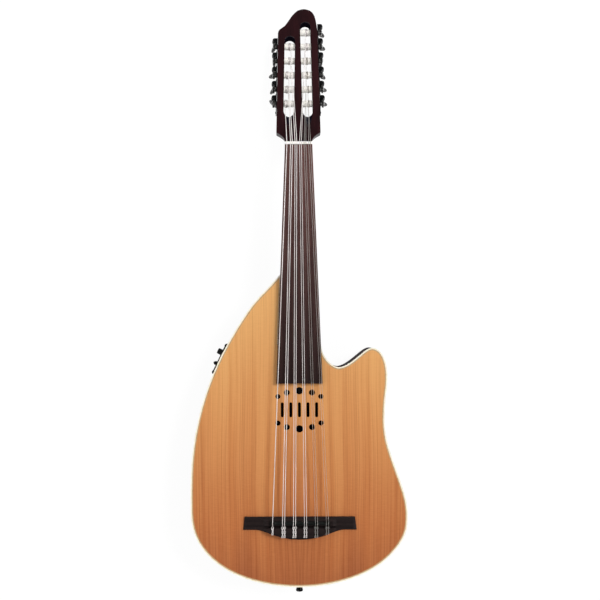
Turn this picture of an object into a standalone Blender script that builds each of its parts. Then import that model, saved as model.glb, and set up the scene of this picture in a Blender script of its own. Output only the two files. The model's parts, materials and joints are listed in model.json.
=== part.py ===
"""Electric oud: a thin hollow-bodied, fretless, eleven-string plucked lute.

The instrument lies on its flat back. X runs to the right across the soundboard,
Y runs from the tail to the head, Z comes up out of the soundboard. The origin is
on the back, under the saddle, on the centre line of the neck. Lengths are metres.
"""

import math

import bmesh
import bpy
import numpy as np
from mathutils import Matrix, Vector

# Gaps and scale length
SEAT_GAP = 0.0003
RUN_GAP = 0.0003
SCALE_LENGTH = 0.585

# Body
BODY_DEPTH = 0.070
BACK_WALL = 0.004
SIDE_WALL = 0.0075
BACK_ROUND = 0.008
BOARD_THICKNESS = 0.003
BINDING_WIDTH = 0.002
BINDING_HEIGHT = 0.005
LEFT_BOUT_X = -0.169
LEFT_BOUT_Y = 0.056
TAIL_Y = -0.1005
RIGHT_BOUT_X = 0.1673
RIGHT_BOUT_Y = 0.015
WAIST_X = 0.1322
WAIST_Y = 0.1525
HORN_SIDE_X = 0.1364
HORN_SIDE_Y = 0.2265
HORN_TIP_X = 0.1124
HORN_TIP_Y = 0.2702
CUTAWAY_X = 0.0615
CUTAWAY_Y = 0.2405
SHOULDER_TIP_Y = 0.3845
SHOULDER_X = -0.1013
SHOULDER_Y = 0.2941

# Neck and heel
NUT_WIDTH = 0.0423
BOARD_END_WIDTH = 0.0716
BOARD_END_Y = 0.2155
NECK_DEPTH_NUT = 0.017
NECK_DEPTH_HEEL = 0.020
HEEL_Y = 0.276
COVE_START_Y = 0.293
COVE_LENGTH = 0.062
TENON_WIDTH = 0.044
TENON_END_Y = 0.207
TENON_BOTTOM = 0.026
NECK_BLOCK_HALF = 0.046
FINGERBOARD_THICKNESS = 0.006
FINGERBOARD_CAMBER = 0.0005

# Nut, saddle and strings
NUT_THICKNESS = 0.0038
NUT_ABOVE_BOARD = 0.0022
NUT_GROOVE_DEPTH = 0.0012
NUT_GROOVE_WIDTH = 0.0016
BASS_X_AT_NUT = -0.0182
COURSE_PITCH_NUT = 0.0070
PAIR_SPACING_NUT = 0.0028
BASS_X_AT_SADDLE = -0.04225
COURSE_PITCH_SADDLE = 0.0169
PAIR_SPACING_SADDLE = 0.0033
SADDLE_CROWN = 0.0120
STRING_RADII = (0.00062, 0.00055, 0.00048, 0.00040, 0.00038, 0.00035)

# Bridge
BRIDGE_FRONT_Y = 0.0094
BRIDGE_FRONT_HALF = 0.0855
BRIDGE_REAR_HALF = 0.088
BRIDGE_WING_Y = -0.0107
BRIDGE_BELLY_Y = -0.0262
BRIDGE_BELLY_HALF = 0.067
BRIDGE_BLOCK_HALF = 0.052
BRIDGE_BLOCK_HEIGHT = 0.0085
BRIDGE_WING_HEIGHT = 0.0042
BRIDGE_EDGE_HEIGHT = 0.0022
TIE_BLOCK_FRONT_Y = -0.0076
TIE_BLOCK_REAR_Y = -0.0212
SADDLE_MOUNT_HEIGHT = 0.0070
SADDLE_MOUNT_REAR_Y = -0.0043
VALLEY_HEIGHT = 0.0034
TIE_HOLE_HEIGHT = 0.0052
TIE_HOLE_RADIUS = 0.0010
SADDLE_WIDTH = 0.0060
SADDLE_HALF_LENGTH = 0.0460
SADDLE_SLOT_DEPTH = 0.0045
SADDLE_REAR_DROP = 0.0031
SADDLE_FRONT_DROP = 0.0011
PICKUP_THICKNESS = 0.0012

# Head
HEAD_ANGLE = 9.0
HEAD_THICKNESS = 0.018
HEAD_BASE_HALF = 0.0344
HEAD_TIP_HALF = 0.0312
HEAD_FLARE_START = 0.0015
HEAD_FLARE_END = 0.0160
HEAD_SHOULDER = 0.1798
SLOT_WIDTH = 0.0165
SLOT_INSET = 0.019
SLOT_BEFORE_ROLLER = 0.0235
SLOT_AFTER_ROLLER = 0.0145
RAMP_LENGTH = 0.018
RAMP_DEPTH = 0.006

# Machine heads, measured from the head's side and face
LEFT_TUNERS = 5
RIGHT_TUNERS = 6
FIRST_ROLLER = 0.0665
TUNER_PITCH = 0.0237
ROLLER_DEPTH = 0.0090
ROLLER_RADIUS = 0.0052
ROLLER_BORE_CLEARANCE = 0.0004
ROLLER_END_IN_RAIL = 0.0022
HUB_RADIUS = 0.0040
PLATE_THICKNESS = 0.0012
PLATE_HEIGHT = 0.0136
PLATE_TAIL = 0.0115
PLATE_TAIL_HEIGHT = 0.0056
GEAR_TEETH = 14
GEAR_MODULE = 0.0008
GEAR_THICKNESS = 0.0030
GEAR_MID_OUT = 0.0053
GEAR_BACKLASH = 0.00060
TOOTH_CREST = 0.00070
TOOTH_ROOT = 0.00100
WORM_PITCH_RADIUS = 0.0028
WORM_STEPS_PER_TURN = 8
WORM_STEPS = 19
SHAFT_RADIUS = 0.0016
EAR_THICKNESS = 0.0017
EAR_SPACING = 0.0102
EAR_REACH = 0.0083
EAR_HALF_WIDTH = 0.0030
GEAR_SCREW_RADIUS = 0.0029
GEAR_SCREW_HEIGHT = 0.0013
BUTTON_LENGTH = 0.0140
BUTTON_WIDTH = 0.0185
BUTTON_THICKNESS = 0.0055
BUTTON_BELOW_HEAD = 0.0055
LEFT_BUTTON_TURNS = (-40.0, 50.0, 18.0, 90.0, 61.0)
RIGHT_BUTTON_TURNS = (-14.0, -12.0, -38.0, 90.0, -20.0, -34.0)

# Controls in the left wall
PANEL_Y = 0.2533
PANEL_LENGTH = 0.052
PANEL_HEIGHT = 0.036
PANEL_THICKNESS = 0.0034
PANEL_RECESS = 0.0010
PANEL_MID_HEIGHT = 0.036
CASE_LENGTH = 0.046
CASE_HEIGHT = 0.030
CASE_DEPTH = 0.018
KNOB_OFFSET = -0.0098
KNOB_RADIUS = 0.0048
KNOB_HEIGHT = 0.0072
KNOB_SHAFT_RADIUS = 0.0030
KNOB_SHAFT_LENGTH = 0.0075
SLIDER_OFFSET = 0.0092
SLIDER_TRAVEL = 0.0075
SLIDER_SPACING = 0.0095
SLIDER_CAP_LENGTH = 0.0054
SLIDER_CAP_WIDTH = 0.0062
SLIDER_CAP_HEIGHT = 0.0050
SLIDER_STEM_LENGTH = 0.0016
SLIDER_STEM_WIDTH = 0.0028
SLIDER_STEM_REACH = 0.0060

# Battery drawer, jack and strap button
BATTERY_LENGTH = 0.0485
BATTERY_WIDTH = 0.0265
BATTERY_HEIGHT = 0.0175
DRAWER_WALL = 0.0015
DRAWER_LIP = 0.0030
DRAWER_FRONT_THICKNESS = 0.0022
DRAWER_TRAVEL = 0.028
DRAWER_MID_Y = 0.048
DRAWER_MID_HEIGHT = 0.036
JACK_HEIGHT = 0.036
JACK_FLANGE_RADIUS = 0.0120
JACK_FLANGE_THICKNESS = 0.0018
JACK_FLANGE_SUNK = 0.0012
JACK_BARREL_RADIUS = 0.0062
JACK_BARREL_LENGTH = 0.034
JACK_BORE_RADIUS = 0.0033
JACK_BORE_LENGTH = 0.030
TAIL_BLOCK_HALF = 0.030
TAIL_BLOCK_Y = -0.076
STRAP_BASE_RADIUS = 0.0062
STRAP_WAIST_RADIUS = 0.0042
STRAP_CAP_RADIUS = 0.0056
STRAP_LENGTH = 0.0150
STRAP_SCREW_RADIUS = 0.0020
STRAP_SCREW_LENGTH = 0.0160

# Sound ports, braces, truss rod and inner leads
PORT_MID_Y = 0.1746
PORT_SLOT_PITCH = 0.0133
PORT_SLOT_LENGTH = 0.0236
PORT_SLOT_WIDTH = 0.0046
PORT_SLOTS = 5
BIG_PORT_RADIUS = 0.0058
MID_PORT_RADIUS = 0.0048
SMALL_PORT_RADIUS = 0.0041
BRACE_WIDTH = 0.008
BRACE_HEIGHT = 0.011
ROD_WIDTH = 0.006
ROD_HEIGHT = 0.009
ROD_LENGTH = 0.350
ROD_NUT_RADIUS = 0.0038
ROD_NUT_LENGTH = 0.0090
LEAD_RADIUS = 0.0015
PICKUP_LEAD_RADIUS = 0.0010

# Worked-out levels shared by several pieces
TOP_Z = BODY_DEPTH
BOARD_SEAT_Z = TOP_Z - BOARD_THICKNESS - SEAT_GAP
FINGERBOARD_Z = TOP_Z + SEAT_GAP
FINGERBOARD_TOP_Z = FINGERBOARD_Z + FINGERBOARD_THICKNESS
BRIDGE_Z = TOP_Z + SEAT_GAP
HEAD_START_Y = SCALE_LENGTH + SEAT_GAP + NUT_THICKNESS + SEAT_GAP
NUT_MID_Y = SCALE_LENGTH + SEAT_GAP + NUT_THICKNESS / 2
GEAR_RADIUS = GEAR_MODULE * GEAR_TEETH / 2
WORM_OFFSET = GEAR_RADIUS + WORM_PITCH_RADIUS
WORM_LEAD = math.pi * GEAR_MODULE

MATERIALS = {
    "cedar": ((0.62, 0.30, 0.11), 0.32, 0.0),
    "dark_mahogany": ((0.045, 0.010, 0.012), 0.22, 0.0),
    "ivory_plastic": ((0.86, 0.82, 0.70), 0.35, 0.0),
    "ebony": ((0.045, 0.024, 0.022), 0.42, 0.0),
    "spruce": ((0.66, 0.50, 0.30), 0.6, 0.0),
    "bone": ((0.88, 0.86, 0.78), 0.3, 0.0),
    "graphite": ((0.010, 0.012, 0.011), 0.4, 0.0),
    "black_steel": ((0.016, 0.016, 0.018), 0.28, 0.9),
    "black_plastic": ((0.012, 0.012, 0.013), 0.25, 0.0),
    "wound_silver": ((0.80, 0.78, 0.74), 0.3, 0.9),
    "clear_nylon": ((0.72, 0.66, 0.58), 0.25, 0.0),
    "steel": ((0.55, 0.55, 0.56), 0.3, 1.0),
}

for leftover in list(bpy.data.objects):
    bpy.data.objects.remove(leftover, do_unlink=True)


# Shared modelling steps

def material(name):
    """The named finish, made once."""
    found = bpy.data.materials.get(name)
    if found:
        return found
    made = bpy.data.materials.new(name)
    made.use_nodes = True
    shader = made.node_tree.nodes["Principled BSDF"]
    colour, roughness, metallic = MATERIALS[name]
    shader.inputs["Base Color"].default_value = (*colour, 1.0)
    shader.inputs["Roughness"].default_value = roughness
    shader.inputs["Metallic"].default_value = metallic
    return made


def add_object(name, mesh, finish, matrix=None):
    """Link a mesh into the scene as a named piece."""
    mesh.materials.clear()
    mesh.materials.append(material(finish))
    piece = bpy.data.objects.new(name, mesh)
    bpy.context.scene.collection.objects.link(piece)
    if matrix is not None:
        piece.matrix_world = matrix
    return piece


def mesh_from(name, vertices, faces, smooth_angle=None):
    """A mesh with its faces turned outwards."""
    mesh = bpy.data.meshes.new(name)
    mesh.from_pydata([tuple(v) for v in vertices], [], faces)
    form = bmesh.new()
    form.from_mesh(mesh)
    bmesh.ops.remove_doubles(form, verts=form.verts, dist=0.0000005)
    bmesh.ops.recalc_face_normals(form, faces=form.faces)
    form.to_mesh(mesh)
    form.free()
    if smooth_angle is not None:
        mesh.shade_smooth()
        mesh.set_sharp_from_angle(angle=math.radians(smooth_angle))
    return mesh


def loft_mesh(name, rings, smooth_angle=35.0, looped=False):
    """Skin through rings of equal count, with flat ends unless the rings meet in a loop."""
    count = len(rings[0])
    vertices = [point for ring in rings for point in ring]
    faces = []
    spans = len(rings) if looped else len(rings) - 1
    for r in range(spans):
        a = r * count
        b = ((r + 1) % len(rings)) * count
        for k in range(count):
            n = (k + 1) % count
            faces.append((a + k, a + n, b + n, b + k))
    if not looped:
        faces.append(tuple(range(count)))
        faces.append(tuple(range(len(vertices) - count, len(vertices))))
    return mesh_from(name, vertices, faces, smooth_angle)


def prism_mesh(name, outline, low, high, smooth_angle=35.0):
    """A flat outline pulled up from one height to another."""
    rings = [[(x, y, z) for x, y in outline] for z in (low, high)]
    return loft_mesh(name, rings, smooth_angle)


def lathe_mesh(name, profile, sides, smooth_angle=35.0):
    """A profile of (distance along X, radius) turned about X, closed by flat ends."""
    turns = [2 * math.pi * k / sides for k in range(sides)]
    rings = [[(x, r * math.cos(t), r * math.sin(t)) for t in turns] for x, r in profile]
    return loft_mesh(name, rings, smooth_angle)


def merged_mesh(name, parts):
    """Several closed meshes in one, each already in its own place."""
    vertices = []
    faces = []
    for mesh in parts:
        start = len(vertices)
        vertices.extend(tuple(v.co) for v in mesh.vertices)
        faces.extend(tuple(start + i for i in face.vertices) for face in mesh.polygons)
    return mesh_from(name, vertices, faces)


def moved(mesh, matrix):
    """The same mesh after its points are placed by a matrix."""
    mesh.transform(matrix)
    return mesh


def combine(piece, tool, operation="DIFFERENCE"):
    """Cut a piece with a tool shape, or grow it by one."""
    step = piece.modifiers.new(tool.name, "BOOLEAN")
    step.operation = operation
    step.solver = "EXACT"
    step.object = tool
    tool.hide_render = True
    tool.display_type = "WIRE"


def even_shading():
    """Let the large flat faces of every cut piece shade flat."""
    for piece in bpy.data.objects:
        if piece.modifiers and not piece.hide_render:
            step = piece.modifiers.new("even_shading", "WEIGHTED_NORMAL")
            step.keep_sharp = True


def tool_object(name, mesh, matrix=None):
    """A shape that only cuts or grows another piece."""
    tool = add_object(name, mesh, "steel", matrix)
    tool.hide_render = True
    tool.display_type = "WIRE"
    return tool


def box_rings(x0, x1, y0, y1, z0, z1):
    """The two rectangles that a box is lofted through."""
    corners = ((x0, y0), (x1, y0), (x1, y1), (x0, y1))
    return [[(x, y, z) for x, y in corners] for z in (z0, z1)]


def box_mesh(name, x0, x1, y0, y1, z0, z1):
    """A plain block between two corners."""
    return loft_mesh(name, box_rings(x0, x1, y0, y1, z0, z1), None)


def rounded_rectangle(half_x, half_y, radius, corner_steps=3):
    """Rectangle outline with round corners, counter-clockwise."""
    outline = []
    for cx, cy, start in ((1, 1, 0), (-1, 1, 90), (-1, -1, 180), (1, -1, 270)):
        for k in range(corner_steps + 1):
            t = math.radians(start + 90 * k / corner_steps)
            x = cx * (half_x - radius) + radius * math.cos(t)
            y = cy * (half_y - radius) + radius * math.sin(t)
            outline.append((x, y))
    return outline


def stadium(length, width, end_steps=6):
    """Slot outline with round ends, long side along Y, counter-clockwise."""
    radius = width / 2
    straight = length / 2 - radius
    outline = []
    for side, start in ((1, 0), (-1, 180)):
        for k in range(end_steps + 1):
            t = math.radians(start + 180 * k / end_steps)
            outline.append((radius * math.cos(t), side * straight + radius * math.sin(t)))
    return outline


def circle(cx, cy, radius, sides):
    """Round outline, counter-clockwise."""
    turns = [2 * math.pi * k / sides for k in range(sides)]
    return [(cx + radius * math.cos(t), cy + radius * math.sin(t)) for t in turns]


def smooth_route(points, step, floor):
    """Points every step along a Catmull-Rom curve through the route, none below the floor."""
    route = [Vector(p) for p in points]
    ends = [2 * route[0] - route[1]] + route + [2 * route[-1] - route[-2]]
    made = []
    for i in range(1, len(ends) - 2):
        p0, p1, p2, p3 = ends[i - 1:i + 3]
        pieces = max(1, round((p2 - p1).length / step))
        for k in range(pieces):
            t = k / pieces
            made.append(0.5 * (2 * p1 + (p2 - p0) * t + (2 * p0 - 5 * p1 + 4 * p2 - p3) * t * t
                               + (3 * p1 - p0 - 3 * p2 + p3) * t ** 3))
    made.append(route[-1])
    for point in made:
        point.z = max(point.z, floor)
    return made


def sweep_mesh(name, points, radius, sides):
    """A round rod through its points, each ring square to the bend at its point."""
    path = [Vector(p) for p in points]
    rings = []
    across = None
    for i, point in enumerate(path):
        before = (point - path[i - 1]).normalized() if i else (path[1] - point).normalized()
        after = (path[i + 1] - point).normalized() if i < len(path) - 1 else before
        heading = (before + after).normalized()
        if across is None:
            across = heading.cross(Vector((0, 0, 1)))
            if across.length < 0.1:
                across = heading.cross(Vector((0, 1, 0)))
        across = (across - heading * across.dot(heading)).normalized()
        up = across.cross(heading).normalized()
        bend = after - before
        stretch = 1.0 / max(heading.dot(after), 0.5) - 1.0
        ring = []
        for k in range(sides):
            t = 2 * math.pi * k / sides
            spoke = (across * math.cos(t) + up * math.sin(t)) * radius
            if bend.length > 0.001:
                way = bend.normalized()
                spoke = spoke + way * spoke.dot(way) * stretch
            ring.append(point + spoke)
        rings.append(ring)
    return loft_mesh(name, rings, 60.0)


# Body outline

def neck_half_width(y):
    """Half the width of the neck and fingerboard at a distance from the saddle."""
    slope = (BOARD_END_WIDTH - NUT_WIDTH) / 2 / (SCALE_LENGTH - BOARD_END_Y)
    return NUT_WIDTH / 2 + (SCALE_LENGTH - y) * slope


def outline_anchors():
    """Turning points of the body outline: place, heading in degrees, handles in and out.

    They run from the shoulder tip beside the neck down the left side, round the tail,
    up the right side over the horn and through the cutaway to the heel.
    """
    tip_x = -neck_half_width(SHOULDER_TIP_Y) - SEAT_GAP
    heel_x = neck_half_width(HEEL_Y) + SEAT_GAP
    return (
        (tip_x, SHOULDER_TIP_Y, -131.5, 0.0, 0.060),
        (SHOULDER_X, SHOULDER_Y, -121.5, 0.069, 0.095),
        (LEFT_BOUT_X, LEFT_BOUT_Y, -90.0, 0.073, 0.0433),
        (LEFT_BOUT_X + 0.0246, LEFT_BOUT_Y - 0.1047, -48.5, 0.0436, 0.0516),
        (0.0, TAIL_Y, 0.0, 0.0506, 0.0506),
        (RIGHT_BOUT_X - 0.0213, RIGHT_BOUT_Y - 0.0607, 50.0, 0.050, 0.0330),
        (RIGHT_BOUT_X, RIGHT_BOUT_Y, 90.0, 0.0250, 0.0364),
        (WAIST_X, WAIST_Y, 90.0, 0.0426, 0.0508),
        (HORN_SIDE_X, HORN_SIDE_Y, 90.0, 0.0309, 0.0234),
        (HORN_TIP_X, HORN_TIP_Y, 180.0, 0.0158, 0.0108),
        (CUTAWAY_X, CUTAWAY_Y, 180.0, 0.0179, 0.0112),
        (heel_x, HEEL_Y, 90.0, 0.0170, 0.0),
    )


SEGMENT_STEPS = (5, 6, 6, 6, 6, 5, 6, 4, 6, 6, 5)


def outline_at(u):
    """Place and unit heading on the outline, where u counts anchors passed."""
    anchors = outline_anchors()
    i = min(int(u), len(anchors) - 2)
    t = u - i
    x0, y0, h0, _, out = anchors[i]
    x1, y1, h1, into, _ = anchors[i + 1]
    start = np.array((x0, y0))
    end = np.array((x1, y1))
    heading0 = np.array((math.cos(math.radians(h0)), math.sin(math.radians(h0))))
    heading1 = np.array((math.cos(math.radians(h1)), math.sin(math.radians(h1))))
    a = start + out * heading0
    b = end - into * heading1
    place = (1 - t) ** 3 * start + 3 * (1 - t) ** 2 * t * a + 3 * (1 - t) * t ** 2 * b + t ** 3 * end
    slope = 3 * (1 - t) ** 2 * (a - start) + 6 * (1 - t) * t * (b - a) + 3 * t ** 2 * (end - b)
    return place, slope / np.linalg.norm(slope)


def inset_at(u, inset):
    """The outline's point moved inwards by the inset."""
    place, heading = outline_at(u)
    return place + inset * np.array((-heading[1], heading[0]))


def past_neck(u, inset):
    """How far an inset point lies inside the neck's left side."""
    x, y = inset_at(u, inset)
    return x + neck_half_width(y) + SEAT_GAP


def rim(inset):
    """Inset outline from the neck's left side round to the heel, an equal count for any inset."""
    low, high = 0.0, 1.5
    if inset > 0:
        for _ in range(40):
            mid = (low + high) / 2
            if past_neck(mid, inset) > 0:
                low = mid
            else:
                high = mid
        start = high
    else:
        start = 0.0
    marks = [0.0]
    for i, steps in enumerate(SEGMENT_STEPS):
        marks.extend(i + (k + 1) / steps for k in range(steps))
    last = marks[-1]
    return [tuple(inset_at(start + (last - start) * m / last, inset)) for m in marks]


def body_ring(inset):
    """Closed plan of the body: the inset outline, then the heel's face and the neck's side.

    The marks left on both by the soundboard's ledge are in every ring, so that the rings
    join without slivers.
    """
    deep = rim(max(inset, BINDING_WIDTH + SEAT_GAP))
    corner = (-neck_half_width(HEEL_Y) - SEAT_GAP, HEEL_Y)
    return rim(inset) + [deep[-1], corner, deep[0]]


def wall_frame(y, inwards=0.0):
    """Upright frame on the left wall at a height y: X out of the wall, Y towards the tail."""
    low, high = 0.0, 4.0
    for _ in range(50):
        mid = (low + high) / 2
        if outline_at(mid)[0][1] > y:
            low = mid
        else:
            high = mid
    place, heading = outline_at(low)
    outwards = Vector((heading[1], -heading[0], 0.0))
    along = Vector((heading[0], heading[1], 0.0))
    up = outwards.cross(along)
    origin = Vector((*place, 0.0)) - outwards * inwards
    return Matrix((
        (outwards.x, along.x, up.x, origin.x),
        (outwards.y, along.y, up.y, origin.y),
        (outwards.z, along.z, up.z, origin.z),
        (0, 0, 0, 1)))


# Body, soundboard and binding

def cove_height(y):
    """Height of the hollow under the neck heel and the left shoulder."""
    end = COVE_START_Y + COVE_LENGTH
    rise = TOP_Z - NECK_DEPTH_HEEL
    if y >= end:
        return rise
    across = (end - y) / COVE_LENGTH
    return rise * math.sqrt(max(0.0, 1.0 - across * across))


def cove_outline():
    """Side view of the hollow under the heel and shoulder, in Y and Z."""
    steps = 8
    end = COVE_START_Y + COVE_LENGTH
    rise = TOP_Z - NECK_DEPTH_HEEL
    far = SHOULDER_TIP_Y + 0.03
    outline = [(COVE_START_Y, -0.01), (far, -0.01), (far, rise)]
    for k in range(steps):
        t = math.radians(90 * k / steps)
        outline.append((end - COVE_LENGTH * math.sin(t), rise * math.cos(t)))
    return outline


def cavity_outline():
    """Plan of the hollow inside the body, clear of the neck block and tail block."""
    edge = rim(SIDE_WALL)
    top_y = COVE_START_Y - SIDE_WALL
    left = [p for p in edge[:30] if p[1] < top_y]
    first_x = np.interp(top_y, [p[1] for p in edge[:20]][::-1], [p[0] for p in edge[:20]][::-1])
    rest = [p for p in edge[30:] if p[0] > NECK_BLOCK_HALF or p[1] < 0.2]
    block_y = TENON_END_Y - SEAT_GAP
    around = left + rest
    tail = []
    for x, y in around:
        if abs(x) < TAIL_BLOCK_HALF and y < TAIL_BLOCK_Y:
            continue
        tail.append((x, y))
    corner = next(i for i, p in enumerate(tail) if p[0] > TAIL_BLOCK_HALF and p[1] < 0)
    edge_y = min(y for x, y in tail) + 0.001
    tail[corner:corner] = [
        (-TAIL_BLOCK_HALF, min(edge_y, TAIL_BLOCK_Y - 0.001)), (-TAIL_BLOCK_HALF, TAIL_BLOCK_Y),
        (TAIL_BLOCK_HALF, TAIL_BLOCK_Y), (TAIL_BLOCK_HALF, min(edge_y, TAIL_BLOCK_Y - 0.001))]
    closing = [(NECK_BLOCK_HALF, tail[-1][1]), (NECK_BLOCK_HALF, block_y),
               (-NECK_BLOCK_HALF, block_y), (-NECK_BLOCK_HALF, top_y)]
    return [(first_x, top_y)] + tail + closing


def build_body_shell():
    """One-piece back and sides, hollowed, with its rebate, pockets and holes."""
    rings = []
    for k in range(4):
        t = math.radians(30 * k)
        inset = BACK_ROUND * (1 - math.sin(t))
        rings.append([(x, y, BACK_ROUND * (1 - math.cos(t))) for x, y in body_ring(inset)])
    step_z = TOP_Z - BINDING_HEIGHT
    ledge = BINDING_WIDTH + SEAT_GAP
    rings.append([(x, y, step_z) for x, y in body_ring(0.0)])
    rings.append([(x, y, step_z) for x, y in body_ring(ledge)])
    rings.append([(x, y, BOARD_SEAT_Z) for x, y in body_ring(ledge)])
    shell = add_object("body_shell", loft_mesh("body_shell", rings, 32.0), "dark_mahogany")

    cavity = tool_object("cavity_tool", prism_mesh("cavity", cavity_outline(), BACK_WALL, TOP_Z + 0.01))
    combine(shell, cavity)

    half = TENON_WIDTH / 2 + SEAT_GAP
    pocket = box_mesh("pocket", -half, half, TENON_END_Y - 0.01, HEEL_Y + 0.01,
                      TENON_BOTTOM - SEAT_GAP, TOP_Z + 0.01)
    combine(shell, tool_object("pocket_tool", pocket))

    span = abs(LEFT_BOUT_X) + 0.01
    rings = [[(x, y, z) for y, z in cove_outline()] for x in (-span, span)]
    combine(shell, tool_object("cove_tool", loft_mesh("cove", rings)))

    frame = wall_frame(PANEL_Y)
    recess = box_mesh("panel_recess", -PANEL_RECESS - SEAT_GAP, 0.01,
                      -PANEL_LENGTH / 2 - SEAT_GAP, PANEL_LENGTH / 2 + SEAT_GAP,
                      PANEL_MID_HEIGHT - PANEL_HEIGHT / 2 - SEAT_GAP,
                      PANEL_MID_HEIGHT + PANEL_HEIGHT / 2 + SEAT_GAP)
    combine(shell, tool_object("panel_recess_tool", recess, frame))
    opening = box_mesh("case_opening", -0.020, 0.01,
                       -CASE_LENGTH / 2 - SEAT_GAP, CASE_LENGTH / 2 + SEAT_GAP,
                       PANEL_MID_HEIGHT - CASE_HEIGHT / 2 - SEAT_GAP,
                       PANEL_MID_HEIGHT + CASE_HEIGHT / 2 + SEAT_GAP)
    combine(shell, tool_object("case_opening_tool", opening, frame))

    profile = [(-0.030, JACK_BARREL_RADIUS + SEAT_GAP),
               (-JACK_FLANGE_SUNK - JACK_FLANGE_THICKNESS - SEAT_GAP, JACK_BARREL_RADIUS + SEAT_GAP),
               (-JACK_FLANGE_SUNK - JACK_FLANGE_THICKNESS - SEAT_GAP, JACK_FLANGE_RADIUS + SEAT_GAP),
               (0.01, JACK_FLANGE_RADIUS + SEAT_GAP)]
    place = Matrix.Translation((RIGHT_BOUT_X, RIGHT_BOUT_Y, JACK_HEIGHT))
    combine(shell, tool_object("jack_bore_tool", lathe_mesh("jack_bore", profile, 16), place))

    front_half = BATTERY_LENGTH / 2 + DRAWER_WALL + DRAWER_LIP + SEAT_GAP
    front_tall = BATTERY_HEIGHT / 2 + DRAWER_WALL + DRAWER_LIP + SEAT_GAP
    face_x = drawer_face_x()
    drawer_recess = box_mesh("drawer_recess", face_x - 0.01,
                             face_x + DRAWER_FRONT_THICKNESS + SEAT_GAP,
                             DRAWER_MID_Y - front_half, DRAWER_MID_Y + front_half,
                             DRAWER_MID_HEIGHT - front_tall, DRAWER_MID_HEIGHT + front_tall)
    combine(shell, tool_object("drawer_recess_tool", drawer_recess))
    tray_half = front_half - DRAWER_LIP
    tray_tall = front_tall - DRAWER_LIP
    drawer_opening = box_mesh("drawer_opening", face_x - 0.01, face_x + 0.020,
                              DRAWER_MID_Y - tray_half, DRAWER_MID_Y + tray_half,
                              DRAWER_MID_HEIGHT - tray_tall, DRAWER_MID_HEIGHT + tray_tall)
    combine(shell, tool_object("drawer_opening_tool", drawer_opening))

    hole = lathe_mesh("strap_hole", [(-0.002, STRAP_SCREW_RADIUS + SEAT_GAP),
                                     (STRAP_SCREW_LENGTH + SEAT_GAP, STRAP_SCREW_RADIUS + SEAT_GAP)], 10)
    combine(shell, tool_object("strap_hole_tool", hole, strap_frame()))
    return shell


def build_soundboard():
    """Cedar top with its rows of small sound ports."""
    inset = BINDING_WIDTH + SEAT_GAP
    board = add_object(
        "soundboard",
        prism_mesh("soundboard", body_ring(inset), TOP_Z - BOARD_THICKNESS, TOP_Z, 32.0), "cedar")
    low = TOP_Z - BOARD_THICKNESS - 0.002
    high = TOP_Z + 0.002
    cutters = []
    for k in range(PORT_SLOTS):
        x = (k - (PORT_SLOTS - 1) / 2) * PORT_SLOT_PITCH
        outline = [(x + px, PORT_MID_Y + py) for px, py in stadium(PORT_SLOT_LENGTH, PORT_SLOT_WIDTH, 4)]
        cutters.append(prism_mesh("port_slot", outline, low, high))
    for x, rise, radius, sides in port_circles():
        for side in (1, -1):
            cutters.append(prism_mesh(
                "port_hole", circle(x, PORT_MID_Y + side * rise, radius, sides), low, high))
    combine(board, tool_object("port_tool", merged_mesh("ports", cutters)))
    lead_x, lead_y = pickup_lead_hole()
    hole = prism_mesh("lead_hole", circle(lead_x, lead_y, PICKUP_LEAD_RADIUS + SEAT_GAP, 8), low, high)
    combine(board, tool_object("board_lead_tool", hole))
    return board


def port_circles():
    """Round ports of one row: across, distance from the middle row, radius and sides."""
    return (
        (0.0, 0.0296, BIG_PORT_RADIUS, 14),
        (-0.0195, 0.0268, MID_PORT_RADIUS, 12),
        (0.0195, 0.0268, MID_PORT_RADIUS, 12),
        (-0.0333, 0.0206, SMALL_PORT_RADIUS, 10),
        (0.0333, 0.0206, SMALL_PORT_RADIUS, 10),
    )


def build_binding():
    """Ivory strip let into the edge between soundboard and sides."""
    outer = rim(0.0)
    inner = rim(BINDING_WIDTH)
    low = TOP_Z - BINDING_HEIGHT + SEAT_GAP
    rings = []
    for (ox, oy), (ix, iy) in zip(outer, inner):
        rings.append([(ox, oy, low), (ox, oy, TOP_Z), (ix, iy, TOP_Z), (ix, iy, low)])
    return add_object("binding", loft_mesh("binding", rings, 32.0), "ivory_plastic")


def build_braces():
    """Spruce bars glued under the soundboard, thinned towards their ends."""
    top = TOP_Z - BOARD_THICKNESS - SEAT_GAP
    lines = (
        ("brace_upper", (-0.118, 0.128), (0.104, 0.128)),
        ("brace_left", (-0.030, 0.112), (-0.088, -0.048)),
        ("brace_right", (0.030, 0.112), (0.088, -0.048)),
    )
    for name, start, end in lines:
        a = Vector((*start, 0.0))
        b = Vector((*end, 0.0))
        across = Vector((-(b - a).y, (b - a).x, 0.0)).normalized() * BRACE_WIDTH / 2
        rings = []
        for t, depth in ((0.0, 0.3), (0.14, 1.0), (0.86, 1.0), (1.0, 0.3)):
            mid = a.lerp(b, t)
            low = top - BRACE_HEIGHT * depth
            rings.append([
                (*(mid - across).xy, top), (*(mid + across).xy, top),
                (*(mid + across * 0.8).xy, low + 0.001), (*mid.xy, low),
                (*(mid - across * 0.8).xy, low + 0.001)])
        add_object(name, loft_mesh(name, rings, 40.0), "spruce")


# Neck, head and fingerboard

def neck_section(left, right, depth, squareness, place):
    """Ring across the neck: flat top and a rounded belly, squarer for larger exponents."""
    steps = 12
    mid = (left + right) / 2
    half = (right - left) / 2
    ring = []
    for k in range(steps + 1):
        t = math.pi * k / steps
        c = math.cos(t)
        s = math.sin(t)
        x = mid + half * math.copysign(abs(c) ** (2 / squareness), c)
        ring.append(place(x, depth * abs(s) ** (2 / squareness)))
    return ring


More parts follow.
